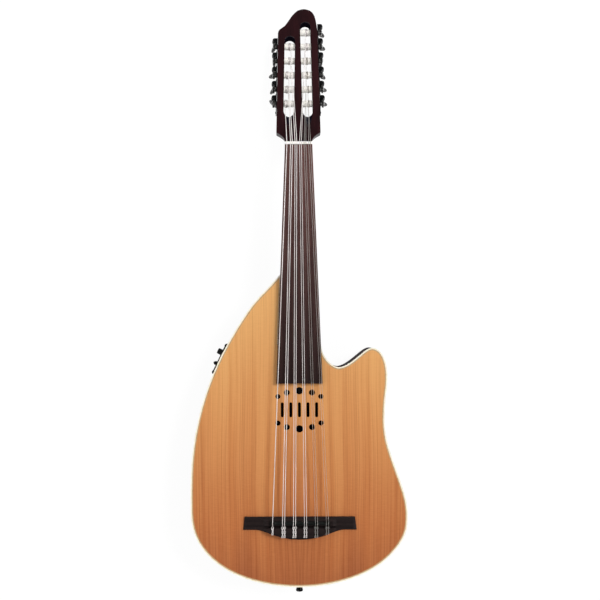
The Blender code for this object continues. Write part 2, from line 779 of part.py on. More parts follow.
def head_point(x, along, depth):
    """A point of the head: along its face from the nut, and down into the wood."""
    tilt = math.radians(HEAD_ANGLE)
    y = HEAD_START_Y + along * math.cos(tilt) - depth * math.sin(tilt)
    z = TOP_Z - along * math.sin(tilt) - depth * math.cos(tilt)
    return (x, y, z)


def head_frame():
    """Frame of the head: X across, Y up its face, Z out of its face."""
    tilt = math.radians(HEAD_ANGLE)
    return Matrix((
        (1, 0, 0, 0),
        (0, math.cos(tilt), math.sin(tilt), HEAD_START_Y),
        (0, -math.sin(tilt), math.cos(tilt), TOP_Z),
        (0, 0, 0, 1)))


def head_half_width(along):
    """Half width of the straight part of the head, which narrows to the shoulder."""
    t = (along - HEAD_FLARE_END) / (HEAD_SHOULDER - HEAD_FLARE_END)
    return HEAD_BASE_HALF + (HEAD_TIP_HALF - HEAD_BASE_HALF) * t


def head_stations():
    """Distance up the head, left and right edges, depth and squareness."""
    stations = []
    nut_half = NUT_WIDTH / 2
    flare = HEAD_FLARE_END - HEAD_FLARE_START
    for t in (0.0, 0.3, 0.55, 0.75, 0.9, 1.0):
        half = nut_half + (HEAD_BASE_HALF - nut_half) * t * t
        depth = NECK_DEPTH_NUT + (HEAD_THICKNESS - NECK_DEPTH_NUT) * t
        stations.append((HEAD_FLARE_START + flare * t, -half, half, depth, 2.4 + 7.6 * t))
    stations.append((HEAD_SHOULDER, -HEAD_TIP_HALF, HEAD_TIP_HALF, HEAD_THICKNESS, 10.0))
    crest = (
        (0.0036, -0.0304, 0.0308), (0.0062, -0.0288, 0.0306), (0.0127, -0.0202, 0.0300),
        (0.0207, -0.0146, 0.0288), (0.0292, -0.0091, 0.0267), (0.0347, -0.0042, 0.0236),
        (0.0382, -0.0002, 0.0196), (0.0399, 0.0045, 0.0150), (0.0407, 0.0085, 0.0113))
    for rise, left, right in crest:
        stations.append((HEAD_SHOULDER + rise, left, right, HEAD_THICKNESS, 10.0))
    return stations


def side_frame(side):
    """Frame on one side of the head at its first roller, in the head's own frame.

    X points out of the side, Z out of the face, and Y runs along the side, towards the
    tip on the right and towards the nut on the left.
    """
    run = HEAD_SHOULDER - HEAD_FLARE_END
    taper = math.atan2(HEAD_BASE_HALF - HEAD_TIP_HALF, run)
    along = Vector((-side * math.sin(taper), math.cos(taper), 0.0))
    out = Vector((side * math.cos(taper), math.sin(taper), 0.0))
    y = side * along
    origin = Vector((side * head_half_width(FIRST_ROLLER), FIRST_ROLLER, 0.0))
    return Matrix((
        (out.x, y.x, 0, origin.x),
        (out.y, y.y, 0, origin.y),
        (0, 0, 1, 0),
        (0, 0, 0, 1)))


def slot_mesh(side):
    """Long slot through the head for one row of rollers."""
    count = LEFT_TUNERS if side < 0 else RIGHT_TUNERS
    low = -SLOT_BEFORE_ROLLER
    high = (count - 1) * TUNER_PITCH + SLOT_AFTER_ROLLER
    mid = (low + high) / 2
    outline = [(x - SLOT_INSET, side * mid + y) for x, y in stadium(high - low, SLOT_WIDTH, 8)]
    mesh = prism_mesh("slot", outline, -HEAD_THICKNESS - 0.005, 0.005)
    return moved(mesh, side_frame(side))


def ramp_mesh(side):
    """Scoop that leads a slot's lower end out to the face: a round bar laid at a slant."""
    radius = SLOT_WIDTH / 2
    end = -SLOT_BEFORE_ROLLER + radius
    length = RAMP_LENGTH + radius
    deep = -RAMP_DEPTH + radius
    rise = RAMP_DEPTH + 0.0002
    start = Vector((-SLOT_INSET, side * end, deep))
    far = Vector((-SLOT_INSET, side * (end - length * 1.1), deep + rise * 1.1))
    sides = 14
    rings = []
    for centre in (start, far):
        ring = []
        for k in range(sides):
            t = 2 * math.pi * (k + 0.5) / sides
            ring.append(centre + Vector((radius * 0.985 * math.cos(t), 0.0, radius * math.sin(t))))
        rings.append(ring)
    return moved(loft_mesh("ramp", rings), side_frame(side))


def bore_meshes():
    """Bores that carry the rollers through the head's sides and into its middle rail."""
    bores = []
    radius = ROLLER_RADIUS + ROLLER_BORE_CLEARANCE
    inner = -SLOT_INSET - SLOT_WIDTH / 2 - ROLLER_END_IN_RAIL - RUN_GAP
    for side, index in tuner_places():
        mesh = lathe_mesh("bore", [(inner, radius), (0.003, radius)], 14)
        bores.append(moved(mesh, unit_frame(side, index)))
    return bores


def tuner_places():
    """Every machine head as its side and its number counted from the nut."""
    left = [(-1, i) for i in range(LEFT_TUNERS)]
    right = [(1, i) for i in range(RIGHT_TUNERS)]
    return left + right


def unit_frame(side, index):
    """Frame of one roller in the head's frame: X along its axis, out of the head."""
    shift = Matrix.Translation((0.0, side * index * TUNER_PITCH, -ROLLER_DEPTH))
    return side_frame(side) @ shift


def build_neck():
    """Neck, heel with tenon, and slotted head, as one carved piece."""
    def upright(y):
        return lambda x, depth: (x, y, TOP_Z - depth)

    rings = []
    tenon_half = TENON_WIDTH / 2
    tenon_top = BOARD_SEAT_Z - SEAT_GAP
    heel_y = HEEL_Y + SEAT_GAP
    for y in (TENON_END_Y, heel_y):
        rings.append(neck_section(
            -tenon_half, tenon_half, tenon_top - TENON_BOTTOM, 10.0,
            lambda x, depth, y=y: (x, y, tenon_top - depth)))
    half = neck_half_width(heel_y)
    rings.append(neck_section(-half, half, TOP_Z, 9.0, upright(heel_y)))
    steps = 7
    end = COVE_START_Y + COVE_LENGTH
    for k in range(steps + 1):
        t = math.radians(90 * k / steps)
        y = end - COVE_LENGTH * math.cos(t)
        half = neck_half_width(y)
        squareness = 9.0 - 5.5 * k / steps
        rings.append(neck_section(-half, half, TOP_Z - cove_height(y), squareness, upright(y)))
    for t, squareness in ((0.35, 2.5), (0.7, 2.3), (0.97, 2.3)):
        y = end + (SCALE_LENGTH - end) * t
        half = neck_half_width(y)
        depth = NECK_DEPTH_HEEL + (NECK_DEPTH_NUT - NECK_DEPTH_HEEL) * t
        rings.append(neck_section(-half, half, depth, squareness, upright(y)))
    for along, left, right, depth, squareness in head_stations():
        rings.append(neck_section(
            left, right, depth, squareness,
            lambda x, d, along=along: head_point(x, along, d)))
    neck = add_object("neck", loft_mesh("neck", rings, 35.0), "dark_mahogany")

    frame = head_frame()
    combine(neck, tool_object("slot_tool", merged_mesh("slots", [slot_mesh(-1), slot_mesh(1)]), frame))
    ramps = merged_mesh("ramps", [ramp_mesh(-1), ramp_mesh(1)])
    combine(neck, tool_object("ramp_tool", ramps, frame))
    combine(neck, tool_object("bore_tool", merged_mesh("bores", bore_meshes()), frame))

    half = ROD_WIDTH / 2 + SEAT_GAP
    channel = box_mesh("rod_channel", -half, half, TENON_END_Y - 0.01,
                       TENON_END_Y + ROD_LENGTH + SEAT_GAP, rod_bottom() - SEAT_GAP, TOP_Z + 0.01)
    combine(neck, tool_object("rod_channel_tool", channel))
    return neck


def rod_bottom():
    """Height of the underside of the truss rod."""
    return BOARD_SEAT_Z - 2 * SEAT_GAP - ROD_HEIGHT


def build_truss_rod():
    """Stiffening rod in its channel, its adjuster reached through the top sound port."""
    half = ROD_WIDTH / 2
    low = rod_bottom()
    high = low + ROD_HEIGHT
    start = TENON_END_Y - 0.002
    bar = box_mesh("truss_rod", -half, half, start, TENON_END_Y + ROD_LENGTH, low, high)
    rod = add_object("truss_rod", bar, "steel")
    nut = lathe_mesh("rod_nut", [(0.0, ROD_NUT_RADIUS), (ROD_NUT_LENGTH, ROD_NUT_RADIUS)], 6)
    turn = Matrix.Translation((0.0, start + 0.001 - ROD_NUT_LENGTH, (low + high) / 2))
    combine(rod, tool_object("rod_nut_tool", nut, turn @ Matrix.Rotation(math.pi / 2, 4, "Z")), "UNION")
    return rod


def build_fingerboard():
    """Fretless board, tapered, with a slight camber across."""
    rings = []
    for y in (BOARD_END_Y, SCALE_LENGTH):
        half = neck_half_width(y)
        ring = [(-half, y, FINGERBOARD_Z), (half, y, FINGERBOARD_Z)]
        for k in range(7):
            x = 1 - 2 * k / 6
            ring.append((half * x, y, FINGERBOARD_TOP_Z - FINGERBOARD_CAMBER * x * x))
        rings.append(ring)
    return add_object("fingerboard", loft_mesh("fingerboard", rings, 30.0), "ebony")


# Strings, nut, bridge and saddle

def string_table():
    """Each string: course, place across at the nut and at the saddle, side and roller."""
    strings = [(0, BASS_X_AT_NUT, BASS_X_AT_SADDLE, -1, 0)]
    rollers = {1: (-1, (1, 2)), 2: (-1, (3, 4)), 3: (1, (4, 5)), 4: (1, (2, 3)), 5: (1, (0, 1))}
    for course in range(1, 6):
        side, pair = rollers[course]
        for k, roller in zip((-0.5, 0.5), pair):
            at_nut = BASS_X_AT_NUT + course * COURSE_PITCH_NUT + k * PAIR_SPACING_NUT
            at_saddle = BASS_X_AT_SADDLE + course * COURSE_PITCH_SADDLE + k * PAIR_SPACING_SADDLE
            strings.append((course, at_nut, at_saddle, side, roller))
    return strings


def string_height_at_nut(radius):
    """Centre height of a string that rests in its groove."""
    return FINGERBOARD_TOP_Z + NUT_ABOVE_BOARD - NUT_GROOVE_DEPTH + SEAT_GAP + radius


def roller_reach(course):
    """How far across its slot a course meets its rollers, from the slot's middle outwards."""
    return (0.0065, 0.0015, -0.0012, 0.0005, 0.0, 0.0010)[course]


def build_strings():
    """Eleven strings from the tie block over saddle and nut to their rollers."""
    frame = head_frame()
    for number, (course, at_nut, at_saddle, side, roller) in enumerate(string_table(), start=1):
        radius = STRING_RADII[course]
        tie_z = BRIDGE_Z + TIE_HOLE_HEIGHT
        crown_z = TOP_Z + SADDLE_CROWN + SEAT_GAP + radius
        unit = frame @ unit_frame(side, roller)
        turn = ROLLER_RADIUS + SEAT_GAP + radius
        end = unit @ Vector((-SLOT_INSET + roller_reach(course), 0.0, turn))
        nut_z = string_height_at_nut(radius)
        half_nut = NUT_THICKNESS / 2
        route = [
            (at_saddle, tie_block_rear_y(at_saddle) - 0.0015, tie_z),
            (at_saddle, TIE_BLOCK_FRONT_Y + 0.0004, tie_z),
            (at_saddle, -SADDLE_WIDTH * 0.15, crown_z),
            (at_saddle, SADDLE_WIDTH * 0.15, crown_z),
            (at_nut, NUT_MID_Y - half_nut, nut_z),
            (at_nut, NUT_MID_Y + half_nut, nut_z - 0.0002),
            tuple(end)]
        finish = "wound_silver" if course < 4 else "clear_nylon"
        name = f"string_{number:02d}"
        add_object(name, sweep_mesh(name, route, radius, 6), finish)


def build_nut():
    """Bone nut with a groove for every string."""
    half = NUT_WIDTH / 2
    low = TOP_Z + SEAT_GAP
    top = FINGERBOARD_TOP_Z + NUT_ABOVE_BOARD
    outline = [(-half, low), (half, low), (half, top - 0.0012), (half - 0.0012, top)]
    for _, x, _, _, _ in reversed(string_table()):
        outline.extend([
            (x + NUT_GROOVE_WIDTH / 2, top), (x + NUT_GROOVE_WIDTH * 0.36, top - NUT_GROOVE_DEPTH),
            (x - NUT_GROOVE_WIDTH * 0.36, top - NUT_GROOVE_DEPTH), (x - NUT_GROOVE_WIDTH / 2, top)])
    outline.extend([(-half + 0.0012, top), (-half, top - 0.0012)])
    front = SCALE_LENGTH + SEAT_GAP
    rings = [[(x, y, z) for x, z in outline] for y in (front, front + NUT_THICKNESS)]
    return add_object("nut", loft_mesh("nut", rings, 30.0), "bone")


def bridge_rear_y(x):
    """Rear edge of the bridge: straight on the wings, swelling to the belly."""
    t = min(abs(x) / BRIDGE_BELLY_HALF, 1.0)
    swell = (1 - t * t) ** 2 * (1 + 0.9 * t * t)
    return BRIDGE_WING_Y + (BRIDGE_BELLY_Y - BRIDGE_WING_Y) * swell


def tie_block_rear_y(x):
    """Rear edge of the tie block's top, which stays inside the bridge's own edge."""
    return max(TIE_BLOCK_REAR_Y, bridge_rear_y(x) + 0.0016)


def build_bridge():
    """Bridge with low wings, saddle slot, raised tie block and belly."""
    half_stations = (0.0, 0.155, 0.31, 0.45, 0.585, 0.60, 0.66, 0.72, 0.78, 0.97, 1.0)
    stations = [-s for s in half_stations[:0:-1]] + list(half_stations)
    rings = []
    for s in stations:
        mid = s * BRIDGE_FRONT_HALF
        rear_x = s * BRIDGE_REAR_HALF
        rear = bridge_rear_y(mid)
        edge = BRIDGE_EDGE_HEIGHT
        wing = BRIDGE_WING_HEIGHT if abs(s) < 1.0 else edge + 0.0004
        inner = abs(mid) <= BRIDGE_BLOCK_HALF
        mount = SADDLE_MOUNT_HEIGHT if inner else wing
        valley = VALLEY_HEIGHT if inner else wing - 0.0001
        block = BRIDGE_BLOCK_HEIGHT if inner else wing
        crown_front = BRIDGE_FRONT_Y - (0.0052 if inner else 0.0030)
        block_rear = tie_block_rear_y(mid) if inner else rear + 0.0016
        section = (
            (mid, BRIDGE_FRONT_Y, 0.0), (mid, BRIDGE_FRONT_Y, edge), (mid, crown_front, mount),
            (mid, SADDLE_MOUNT_REAR_Y, mount), (mid, SADDLE_MOUNT_REAR_Y - 0.0001, valley),
            (mid, TIE_BLOCK_FRONT_Y + 0.0001, valley), (mid, TIE_BLOCK_FRONT_Y, block),
            (mid, min(block_rear, TIE_BLOCK_FRONT_Y - 0.0002), block),
            (mid, min(block_rear, TIE_BLOCK_FRONT_Y - 0.0002) - 0.0004, edge + 0.0003),
            (rear_x, rear, edge - 0.0004), (rear_x, rear, 0.0))
        rings.append([(x, y, BRIDGE_Z + z) for x, y, z in section])
    bridge = add_object("bridge", loft_mesh("bridge", rings, 30.0), "ebony")

    floor = BRIDGE_Z + SADDLE_MOUNT_HEIGHT - SADDLE_SLOT_DEPTH
    lead_x, lead_y = pickup_lead_hole()
    hole = prism_mesh("bridge_lead", circle(lead_x, lead_y, PICKUP_LEAD_RADIUS + SEAT_GAP, 8),
                      TOP_Z - 0.001, floor + 0.001)
    combine(bridge, tool_object("bridge_lead_tool", hole))
    half = SADDLE_WIDTH / 2 + SEAT_GAP
    long_half = SADDLE_HALF_LENGTH + SEAT_GAP
    slot = box_mesh("saddle_slot", -long_half, long_half, -half, half, floor, floor + 0.02)
    combine(bridge, tool_object("saddle_slot_tool", slot))

    holes = []
    for _, _, x, _, _ in string_table():
        radius = TIE_HOLE_RADIUS
        mesh = lathe_mesh("tie_hole", [(-0.02, radius), (0.0006, radius)], 6)
        place = Matrix.Translation((x, TIE_BLOCK_FRONT_Y, BRIDGE_Z + TIE_HOLE_HEIGHT)) @ Matrix.Rotation(
            math.radians(90), 4, "Z")
        holes.append(moved(mesh, place))
    combine(bridge, tool_object("tie_hole_tool", merged_mesh("tie_holes", holes)))
    return bridge


def build_saddle():
    """Dark saddle with one crowned land for each course."""
    floor = BRIDGE_Z + SADDLE_MOUNT_HEIGHT - SADDLE_SLOT_DEPTH
    low = floor + SEAT_GAP + PICKUP_THICKNESS + SEAT_GAP
    crown = TOP_Z + SADDLE_CROWN
    land = 0.0052
    tops = [(-SADDLE_HALF_LENGTH, crown - 0.0022)]
    for course in range(6):
        x = BASS_X_AT_SADDLE + course * COURSE_PITCH_SADDLE
        left = max(x - land, -SADDLE_HALF_LENGTH + 0.0006)
        right = min(x + land, SADDLE_HALF_LENGTH - 0.0006)
        tops.extend([(left, crown - 0.0010), (left + 0.0016, crown), (right - 0.0016, crown),
                     (right, crown - 0.0010)])
    tops.append((SADDLE_HALF_LENGTH, crown - 0.0022))
    half = SADDLE_WIDTH / 2
    rings = []
    for x, top in tops:
        rings.append([(x, -half, low), (x, half, low), (x, half, top - SADDLE_FRONT_DROP),
                      (x, half * 0.3, top), (x, -half * 0.3, top), (x, -half, top - SADDLE_REAR_DROP)])
    return add_object("saddle", loft_mesh("saddle", rings, 30.0), "graphite")


def build_pickup():
    """Thin sensing strip lying under the saddle."""
    floor = BRIDGE_Z + SADDLE_MOUNT_HEIGHT - SADDLE_SLOT_DEPTH
    half = SADDLE_WIDTH / 2 - 0.0012
    long_half = SADDLE_HALF_LENGTH - 0.002
    low = floor + SEAT_GAP
    mesh = box_mesh("saddle_pickup", -long_half, long_half, -half, half, low, low + PICKUP_THICKNESS)
    return add_object("saddle_pickup", mesh, "steel")


# Machine heads

def build_plate(side, count, name):
    """Side plate with a pair of ears to hold each worm shaft."""
    frame = head_frame() @ side_frame(side) @ Matrix.Translation((0, 0, -ROLLER_DEPTH))
    tall = PLATE_HEIGHT / 2
    tail = PLATE_TAIL_HEIGHT / 2
    start = -0.0085
    end = (count - 1) * TUNER_PITCH + WORM_OFFSET + EAR_HALF_WIDTH + 0.0012
    outline = [(start - PLATE_TAIL, -tail * 0.5), (start - PLATE_TAIL + 0.0016, -tail),
               (start - 0.0016, -tail), (start, -tall), (end - 0.002, -tall), (end, -tall + 0.002),
               (end, tall - 0.002), (end - 0.002, tall), (start, tall), (start - 0.0016, tail),
               (start - PLATE_TAIL + 0.0016, tail), (start - PLATE_TAIL, tail * 0.5)]
    low = SEAT_GAP
    high = SEAT_GAP + PLATE_THICKNESS
    rings = [[(x, side * y, z) for y, z in outline] for x in (low, high)]
    plate = add_object(name, loft_mesh(name, rings, 30.0), "black_steel", frame)

    ears = []
    shaft_holes = []
    hub_holes = []
    for index in range(count):
        worm_y = side * (index * TUNER_PITCH + WORM_OFFSET)
        for end_side in (1, -1):
            near = end_side * EAR_SPACING / 2
            far = near + end_side * EAR_THICKNESS
            ears.append(ear_mesh(worm_y, min(near, far), max(near, far)))
        hole = prism_mesh("shaft_hole", circle(GEAR_MID_OUT, worm_y, SHAFT_RADIUS + RUN_GAP, 8),
                          -EAR_SPACING, EAR_SPACING)
        shaft_holes.append(hole)
        hub = lathe_mesh("hub_hole", [(-0.003, HUB_RADIUS + RUN_GAP), (0.0025, HUB_RADIUS + RUN_GAP)], 10)
        hub_holes.append(moved(hub, Matrix.Translation((0, side * index * TUNER_PITCH, 0))))
    combine(plate, tool_object(name + "_ears_tool", merged_mesh("ears", ears), frame), "UNION")
    combine(plate, tool_object(name + "_hub_tool", merged_mesh("hubs", hub_holes), frame))
    combine(plate, tool_object(name + "_shaft_tool", merged_mesh("shafts", shaft_holes), frame))
    return plate


def ear_mesh(worm_y, low, high):
    """Ear of a plate: a tongue with a round outer end."""
    half = EAR_HALF_WIDTH
    root = SEAT_GAP + PLATE_THICKNESS / 2
    straight = EAR_REACH - half
    outline = [(root, worm_y - half)]
    for k in range(5):
        t = math.radians(-90 + 45 * k)
        outline.append((straight + half * math.cos(t), worm_y + half * math.sin(t)))
    outline.append((root, worm_y + half))
    return prism_mesh("ear", outline, low, high)


def roller_mesh():
    """String roller, hub, toothed wheel and screw on one axis, the axis along X."""
    count = GEAR_TEETH
    rail_end = -SLOT_INSET - SLOT_WIDTH / 2 - ROLLER_END_IN_RAIL
    gear_low = GEAR_MID_OUT - GEAR_THICKNESS / 2
    gear_high = GEAR_MID_OUT + GEAR_THICKNESS / 2
    plain = [(rail_end, ROLLER_RADIUS), (-RUN_GAP, ROLLER_RADIUS), (-RUN_GAP, HUB_RADIUS),
             (gear_low, HUB_RADIUS)]
    vertices = []
    faces = []

    def add_plain(x, radius, twist=0.0):
        start = len(vertices)
        for k in range(count):
            t = 2 * math.pi * k / count + twist
            vertices.append((x, radius * math.cos(t), radius * math.sin(t)))
        return start

    def join(a, b):
        for k in range(count):
            n = (k + 1) % count
            faces.append((a + k, a + n, b + n, b + k))

    def add_toothed(x):
        twist = x_twist(x - GEAR_MID_OUT)
        start = len(vertices)
        for k in range(count):
            for radius, offset in tooth_points():
                t = 2 * math.pi * k / count + twist + offset
                vertices.append((x, radius * math.cos(t), radius * math.sin(t)))
        return start

    def face_across(ring, toothed):
        for k in range(count):
            n = (k + 1) % count
            points = [toothed + 4 * k + j for j in range(4)] + [toothed + 4 * n]
            for j in range(4):
                near = ring + k if j < 2 else ring + n
                faces.append((near, points[j], points[j + 1]))
            faces.append((ring + k, points[2], ring + n))

    starts = [add_plain(x, r) for x, r in plain[:3]]
    for a, b in zip(starts, starts[1:]):
        join(a, b)
    hub_end = add_plain(plain[3][0], plain[3][1], x_twist(-GEAR_THICKNESS / 2))
    join(starts[-1], hub_end)
    low = add_toothed(gear_low)
    high = add_toothed(gear_high)
    face_across(hub_end, low)
    for k in range(4 * count):
        n = (k + 1) % (4 * count)
        faces.append((low + k, low + n, high + n, high + k))
    screw_low = add_plain(gear_high, GEAR_SCREW_RADIUS, x_twist(GEAR_THICKNESS / 2))
    face_across(screw_low, high)
    screw_high = add_plain(gear_high + GEAR_SCREW_HEIGHT, GEAR_SCREW_RADIUS * 0.9,
                           x_twist(GEAR_THICKNESS / 2))
    join(screw_low, screw_high)
    faces.append(tuple(range(starts[0], starts[0] + count)))
    faces.append(tuple(range(screw_high, screw_high + count)))
    return mesh_from("roller", vertices, faces, 30.0)


def x_twist(x):
    """Turn of the wheel's teeth across its width, so that they follow the worm's thread."""
    return x * (WORM_LEAD / (2 * math.pi * WORM_PITCH_RADIUS)) / GEAR_RADIUS


def tooth_points():
    """One gap and tooth of the wheel, from mid gap: radius and angle of its four corners."""
    pitch = 2 * math.pi / GEAR_TEETH
    slope = math.tan(math.radians(20))
    thick = (math.pi * GEAR_MODULE - GEAR_BACKLASH) / 2
    root = GEAR_RADIUS - TOOTH_ROOT
    crest = GEAR_RADIUS + TOOTH_CREST
    root_half = (thick / 2 + TOOTH_ROOT * slope) / root
    crest_half = (thick / 2 - TOOTH_CREST * slope) / crest
    mid = pitch / 2
    return ((root, mid - root_half), (crest, mid - crest_half),
            (crest, mid + crest_half), (root, mid + root_half))


def shaft_mesh(name, turn):
    """Worm with its thread, collars, shaft and finger button, the axis along Z.

    The thread's middle passes height zero on the side that faces minus Y.
    """
    steps = WORM_STEPS_PER_TURN
    slope = math.tan(math.radians(20))
    thick = (WORM_LEAD - GEAR_BACKLASH) / 2
    root = WORM_PITCH_RADIUS - TOOTH_ROOT
    crest = WORM_PITCH_RADIUS + TOOTH_CREST
    root_half = thick / 2 + TOOTH_ROOT * slope
    crest_half = thick / 2 - TOOTH_CREST * slope
    corners = ((root, -WORM_LEAD + root_half), (root, -root_half),
               (crest, -crest_half), (crest, crest_half))
    vertices = []
    faces = []
    grid = {}
    middle = (WORM_STEPS + steps) / 2

    def thread_vertex(i, k):
        radius, shift = corners[k]
        angle = 2 * math.pi * (i - middle) / steps
        z = WORM_LEAD * (i - middle) / steps + WORM_LEAD / 2 + shift
        grid[i, k] = len(vertices)
        facing = angle - math.pi / 2 - math.pi
        vertices.append((radius * math.cos(facing), radius * math.sin(facing), z))

    for i in range(WORM_STEPS + 1):
        for k in range(4):
            thread_vertex(i, k)
    for i in range(WORM_STEPS + 1, WORM_STEPS + steps + 1):
        thread_vertex(i, 0)
    for i in range(WORM_STEPS):
        for k in range(3):
            faces.append((grid[i, k], grid[i + 1, k], grid[i + 1, k + 1], grid[i, k + 1]))
        faces.append((grid[i, 3], grid[i + 1, 3], grid[i + 1 + steps, 0], grid[i + steps, 0]))

    def add_ring(first, radius, z):
        start = len(vertices)
        for j in range(steps):
            angle = 2 * math.pi * (first + j - middle) / steps - math.pi * 1.5
            vertices.append((radius * math.cos(angle), radius * math.sin(angle), z))
        return start

    def join(a, b):
        for k in range(steps):
            n = (k + 1) % steps
            faces.append((a + k, a + n, b + n, b + k))

    collar = EAR_SPACING / 2 - RUN_GAP
    for first, sign in ((0, -1), (WORM_STEPS, 1)):
        ring = add_ring(first, root, sign * collar)
        for j in range(steps):
            n = (j + 1) % steps
            faces.append((grid[first + j, 0], grid[first + j + 1, 0], ring + n, ring + j))
        edge = [grid[first + steps, 0], grid[first, 3], grid[first, 2], grid[first, 1], grid[first, 0]]
        for a, b in zip(edge, edge[1:]):
            faces.append((a, b, ring))
        step = add_ring(first, SHAFT_RADIUS, sign * collar)
        join(ring, step)
        if sign > 0:
            end = add_ring(first, SHAFT_RADIUS, EAR_SPACING / 2 + EAR_THICKNESS + 0.0008)
            join(step, end)
            faces.append(tuple(range(end, end + steps)))
        else:
            last = step
            for z, wide, thick_half in button_rings():
                ring = len(vertices)
                for j in range(steps):
                    angle = 2 * math.pi * (first + j - middle) / steps - math.pi * 1.5
                    local = angle - turn
                    x = wide * math.cos(local)
                    y = thick_half * math.sin(local)
                    vertices.append((x * math.cos(turn) - y * math.sin(turn),
                                     x * math.sin(turn) + y * math.cos(turn), z))
                join(last, ring)
                last = ring
            faces.append(tuple(range(last, last + steps)))
    return mesh_from(name, vertices, faces, 40.0)


def button_rings():
    """Finger button as ovals along the shaft: height, half width and half thickness."""
    top = -(HEAD_THICKNESS - ROLLER_DEPTH) - BUTTON_BELOW_HEAD
    wide = BUTTON_WIDTH / 2
    thick = BUTTON_THICKNESS / 2
    return (
        (top, SHAFT_RADIUS, SHAFT_RADIUS),
        (top - BUTTON_LENGTH * 0.04, wide * 0.42, thick * 0.80),
        (top - BUTTON_LENGTH * 0.30, wide * 0.90, thick),
        (top - BUTTON_LENGTH * 0.62, wide, thick),
        (top - BUTTON_LENGTH * 0.90, wide * 0.72, thick * 0.85),
        (top - BUTTON_LENGTH, wide * 0.35, thick * 0.5))


def build_tuners():
    """Two plates, and a roller with its wheel and a worm shaft for every string."""
    build_plate(-1, LEFT_TUNERS, "tuner_plate_left")
    build_plate(1, RIGHT_TUNERS, "tuner_plate_right")
    head = head_frame()
    roller = roller_mesh()
    for side, index in tuner_places():
        label = ("left" if side < 0 else "right") + f"_{index + 1}"
        unit = head @ unit_frame(side, index)
        add_object("roller_" + label, roller, "ivory_plastic", unit)
        turns = LEFT_BUTTON_TURNS if side < 0 else RIGHT_BUTTON_TURNS
        turn = math.radians(turns[index % len(turns)])
        name = "tuner_shaft_" + label
        facing = Matrix.Rotation(0.0 if side > 0 else math.pi, 4, "Z")
        place = unit @ Matrix.Translation((GEAR_MID_OUT, side * WORM_OFFSET, 0.0)) @ facing
        add_object(name, shaft_mesh(name, turn), "black_steel", place)


# Controls, electronics and fittings

def panel_frame():
    """Frame of the control panel: X out of the wall, from the bottom of its recess."""
    return wall_frame(PANEL_Y, PANEL_RECESS) @ Matrix.Translation((0, 0, PANEL_MID_HEIGHT))


def slider_heights():
    """The three tone controls by name and height above the panel's middle."""
    return (("bass_slider", -SLIDER_SPACING), ("mid_slider", 0.0), ("treble_slider", SLIDER_SPACING))


def build_controls():
    """Panel with a volume knob and three tone sliders, and the preamp case behind it."""
    frame = panel_frame()
    outline = rounded_rectangle(PANEL_LENGTH / 2, PANEL_HEIGHT / 2, 0.003)
    rings = [[(x, y, z) for y, z in outline] for x in (0.0, PANEL_THICKNESS * 0.7)]
    small = rounded_rectangle(PANEL_LENGTH / 2 - 0.0008, PANEL_HEIGHT / 2 - 0.0008, 0.0024)
    rings.append([(PANEL_THICKNESS, y, z) for y, z in small])
    panel = add_object("control_panel", loft_mesh("control_panel", rings, 30.0), "black_plastic", frame)
    hole = lathe_mesh("knob_hole", [(-0.004, KNOB_SHAFT_RADIUS + RUN_GAP),
                                    (0.008, KNOB_SHAFT_RADIUS + RUN_GAP)], 12)
    cuts = [moved(hole, Matrix.Translation((0, KNOB_OFFSET, 0)))]
    slot_half = SLIDER_TRAVEL + SLIDER_STEM_LENGTH / 2 + RUN_GAP
    slot_tall = SLIDER_STEM_WIDTH / 2 + RUN_GAP
    for _, height in slider_heights():
        cuts.append(box_mesh("slider_slot", -0.004, 0.008, SLIDER_OFFSET - slot_half,
                             SLIDER_OFFSET + slot_half, height - slot_tall, height + slot_tall))
    combine(panel, tool_object("panel_hole_tool", merged_mesh("panel_holes", cuts), frame))

    front = -SEAT_GAP
    back = front - CASE_DEPTH
    case_outline = rounded_rectangle(CASE_LENGTH / 2, CASE_HEIGHT / 2, 0.0025, 2)
    rings = [[(x, y, z) for y, z in case_outline] for x in (back, front)]
    case = add_object("preamp_case", loft_mesh("preamp_case", rings, 30.0), "black_plastic", frame)
    shaft_depth = KNOB_SHAFT_LENGTH + RUN_GAP
    bore = lathe_mesh("case_bore", [(front - shaft_depth, KNOB_SHAFT_RADIUS + RUN_GAP),
                                    (0.004, KNOB_SHAFT_RADIUS + RUN_GAP)], 12)
    cuts = [moved(bore, Matrix.Translation((0, KNOB_OFFSET, 0)))]
    for _, height in slider_heights():
        cuts.append(box_mesh("case_slot", front - SLIDER_STEM_REACH - RUN_GAP, 0.004,
                             SLIDER_OFFSET - slot_half, SLIDER_OFFSET + slot_half,
                             height - slot_tall, height + slot_tall))
    combine(case, tool_object("case_hole_tool", merged_mesh("case_holes", cuts), frame))

    base = PANEL_THICKNESS + RUN_GAP
    profile = [(-SEAT_GAP - KNOB_SHAFT_LENGTH, KNOB_SHAFT_RADIUS), (base, KNOB_SHAFT_RADIUS),
               (base, KNOB_RADIUS), (base + KNOB_HEIGHT * 0.82, KNOB_RADIUS * 0.94),
               (base + KNOB_HEIGHT, KNOB_RADIUS * 0.78)]
    place = frame @ Matrix.Translation((0, KNOB_OFFSET, 0))
    add_object("volume_knob", lathe_mesh("volume_knob", profile, 16), "black_plastic", place)

    for name, height in slider_heights():
        place = frame @ Matrix.Translation((0, SLIDER_OFFSET, height))
        add_object(name, slider_mesh(name, base), "black_plastic", place)


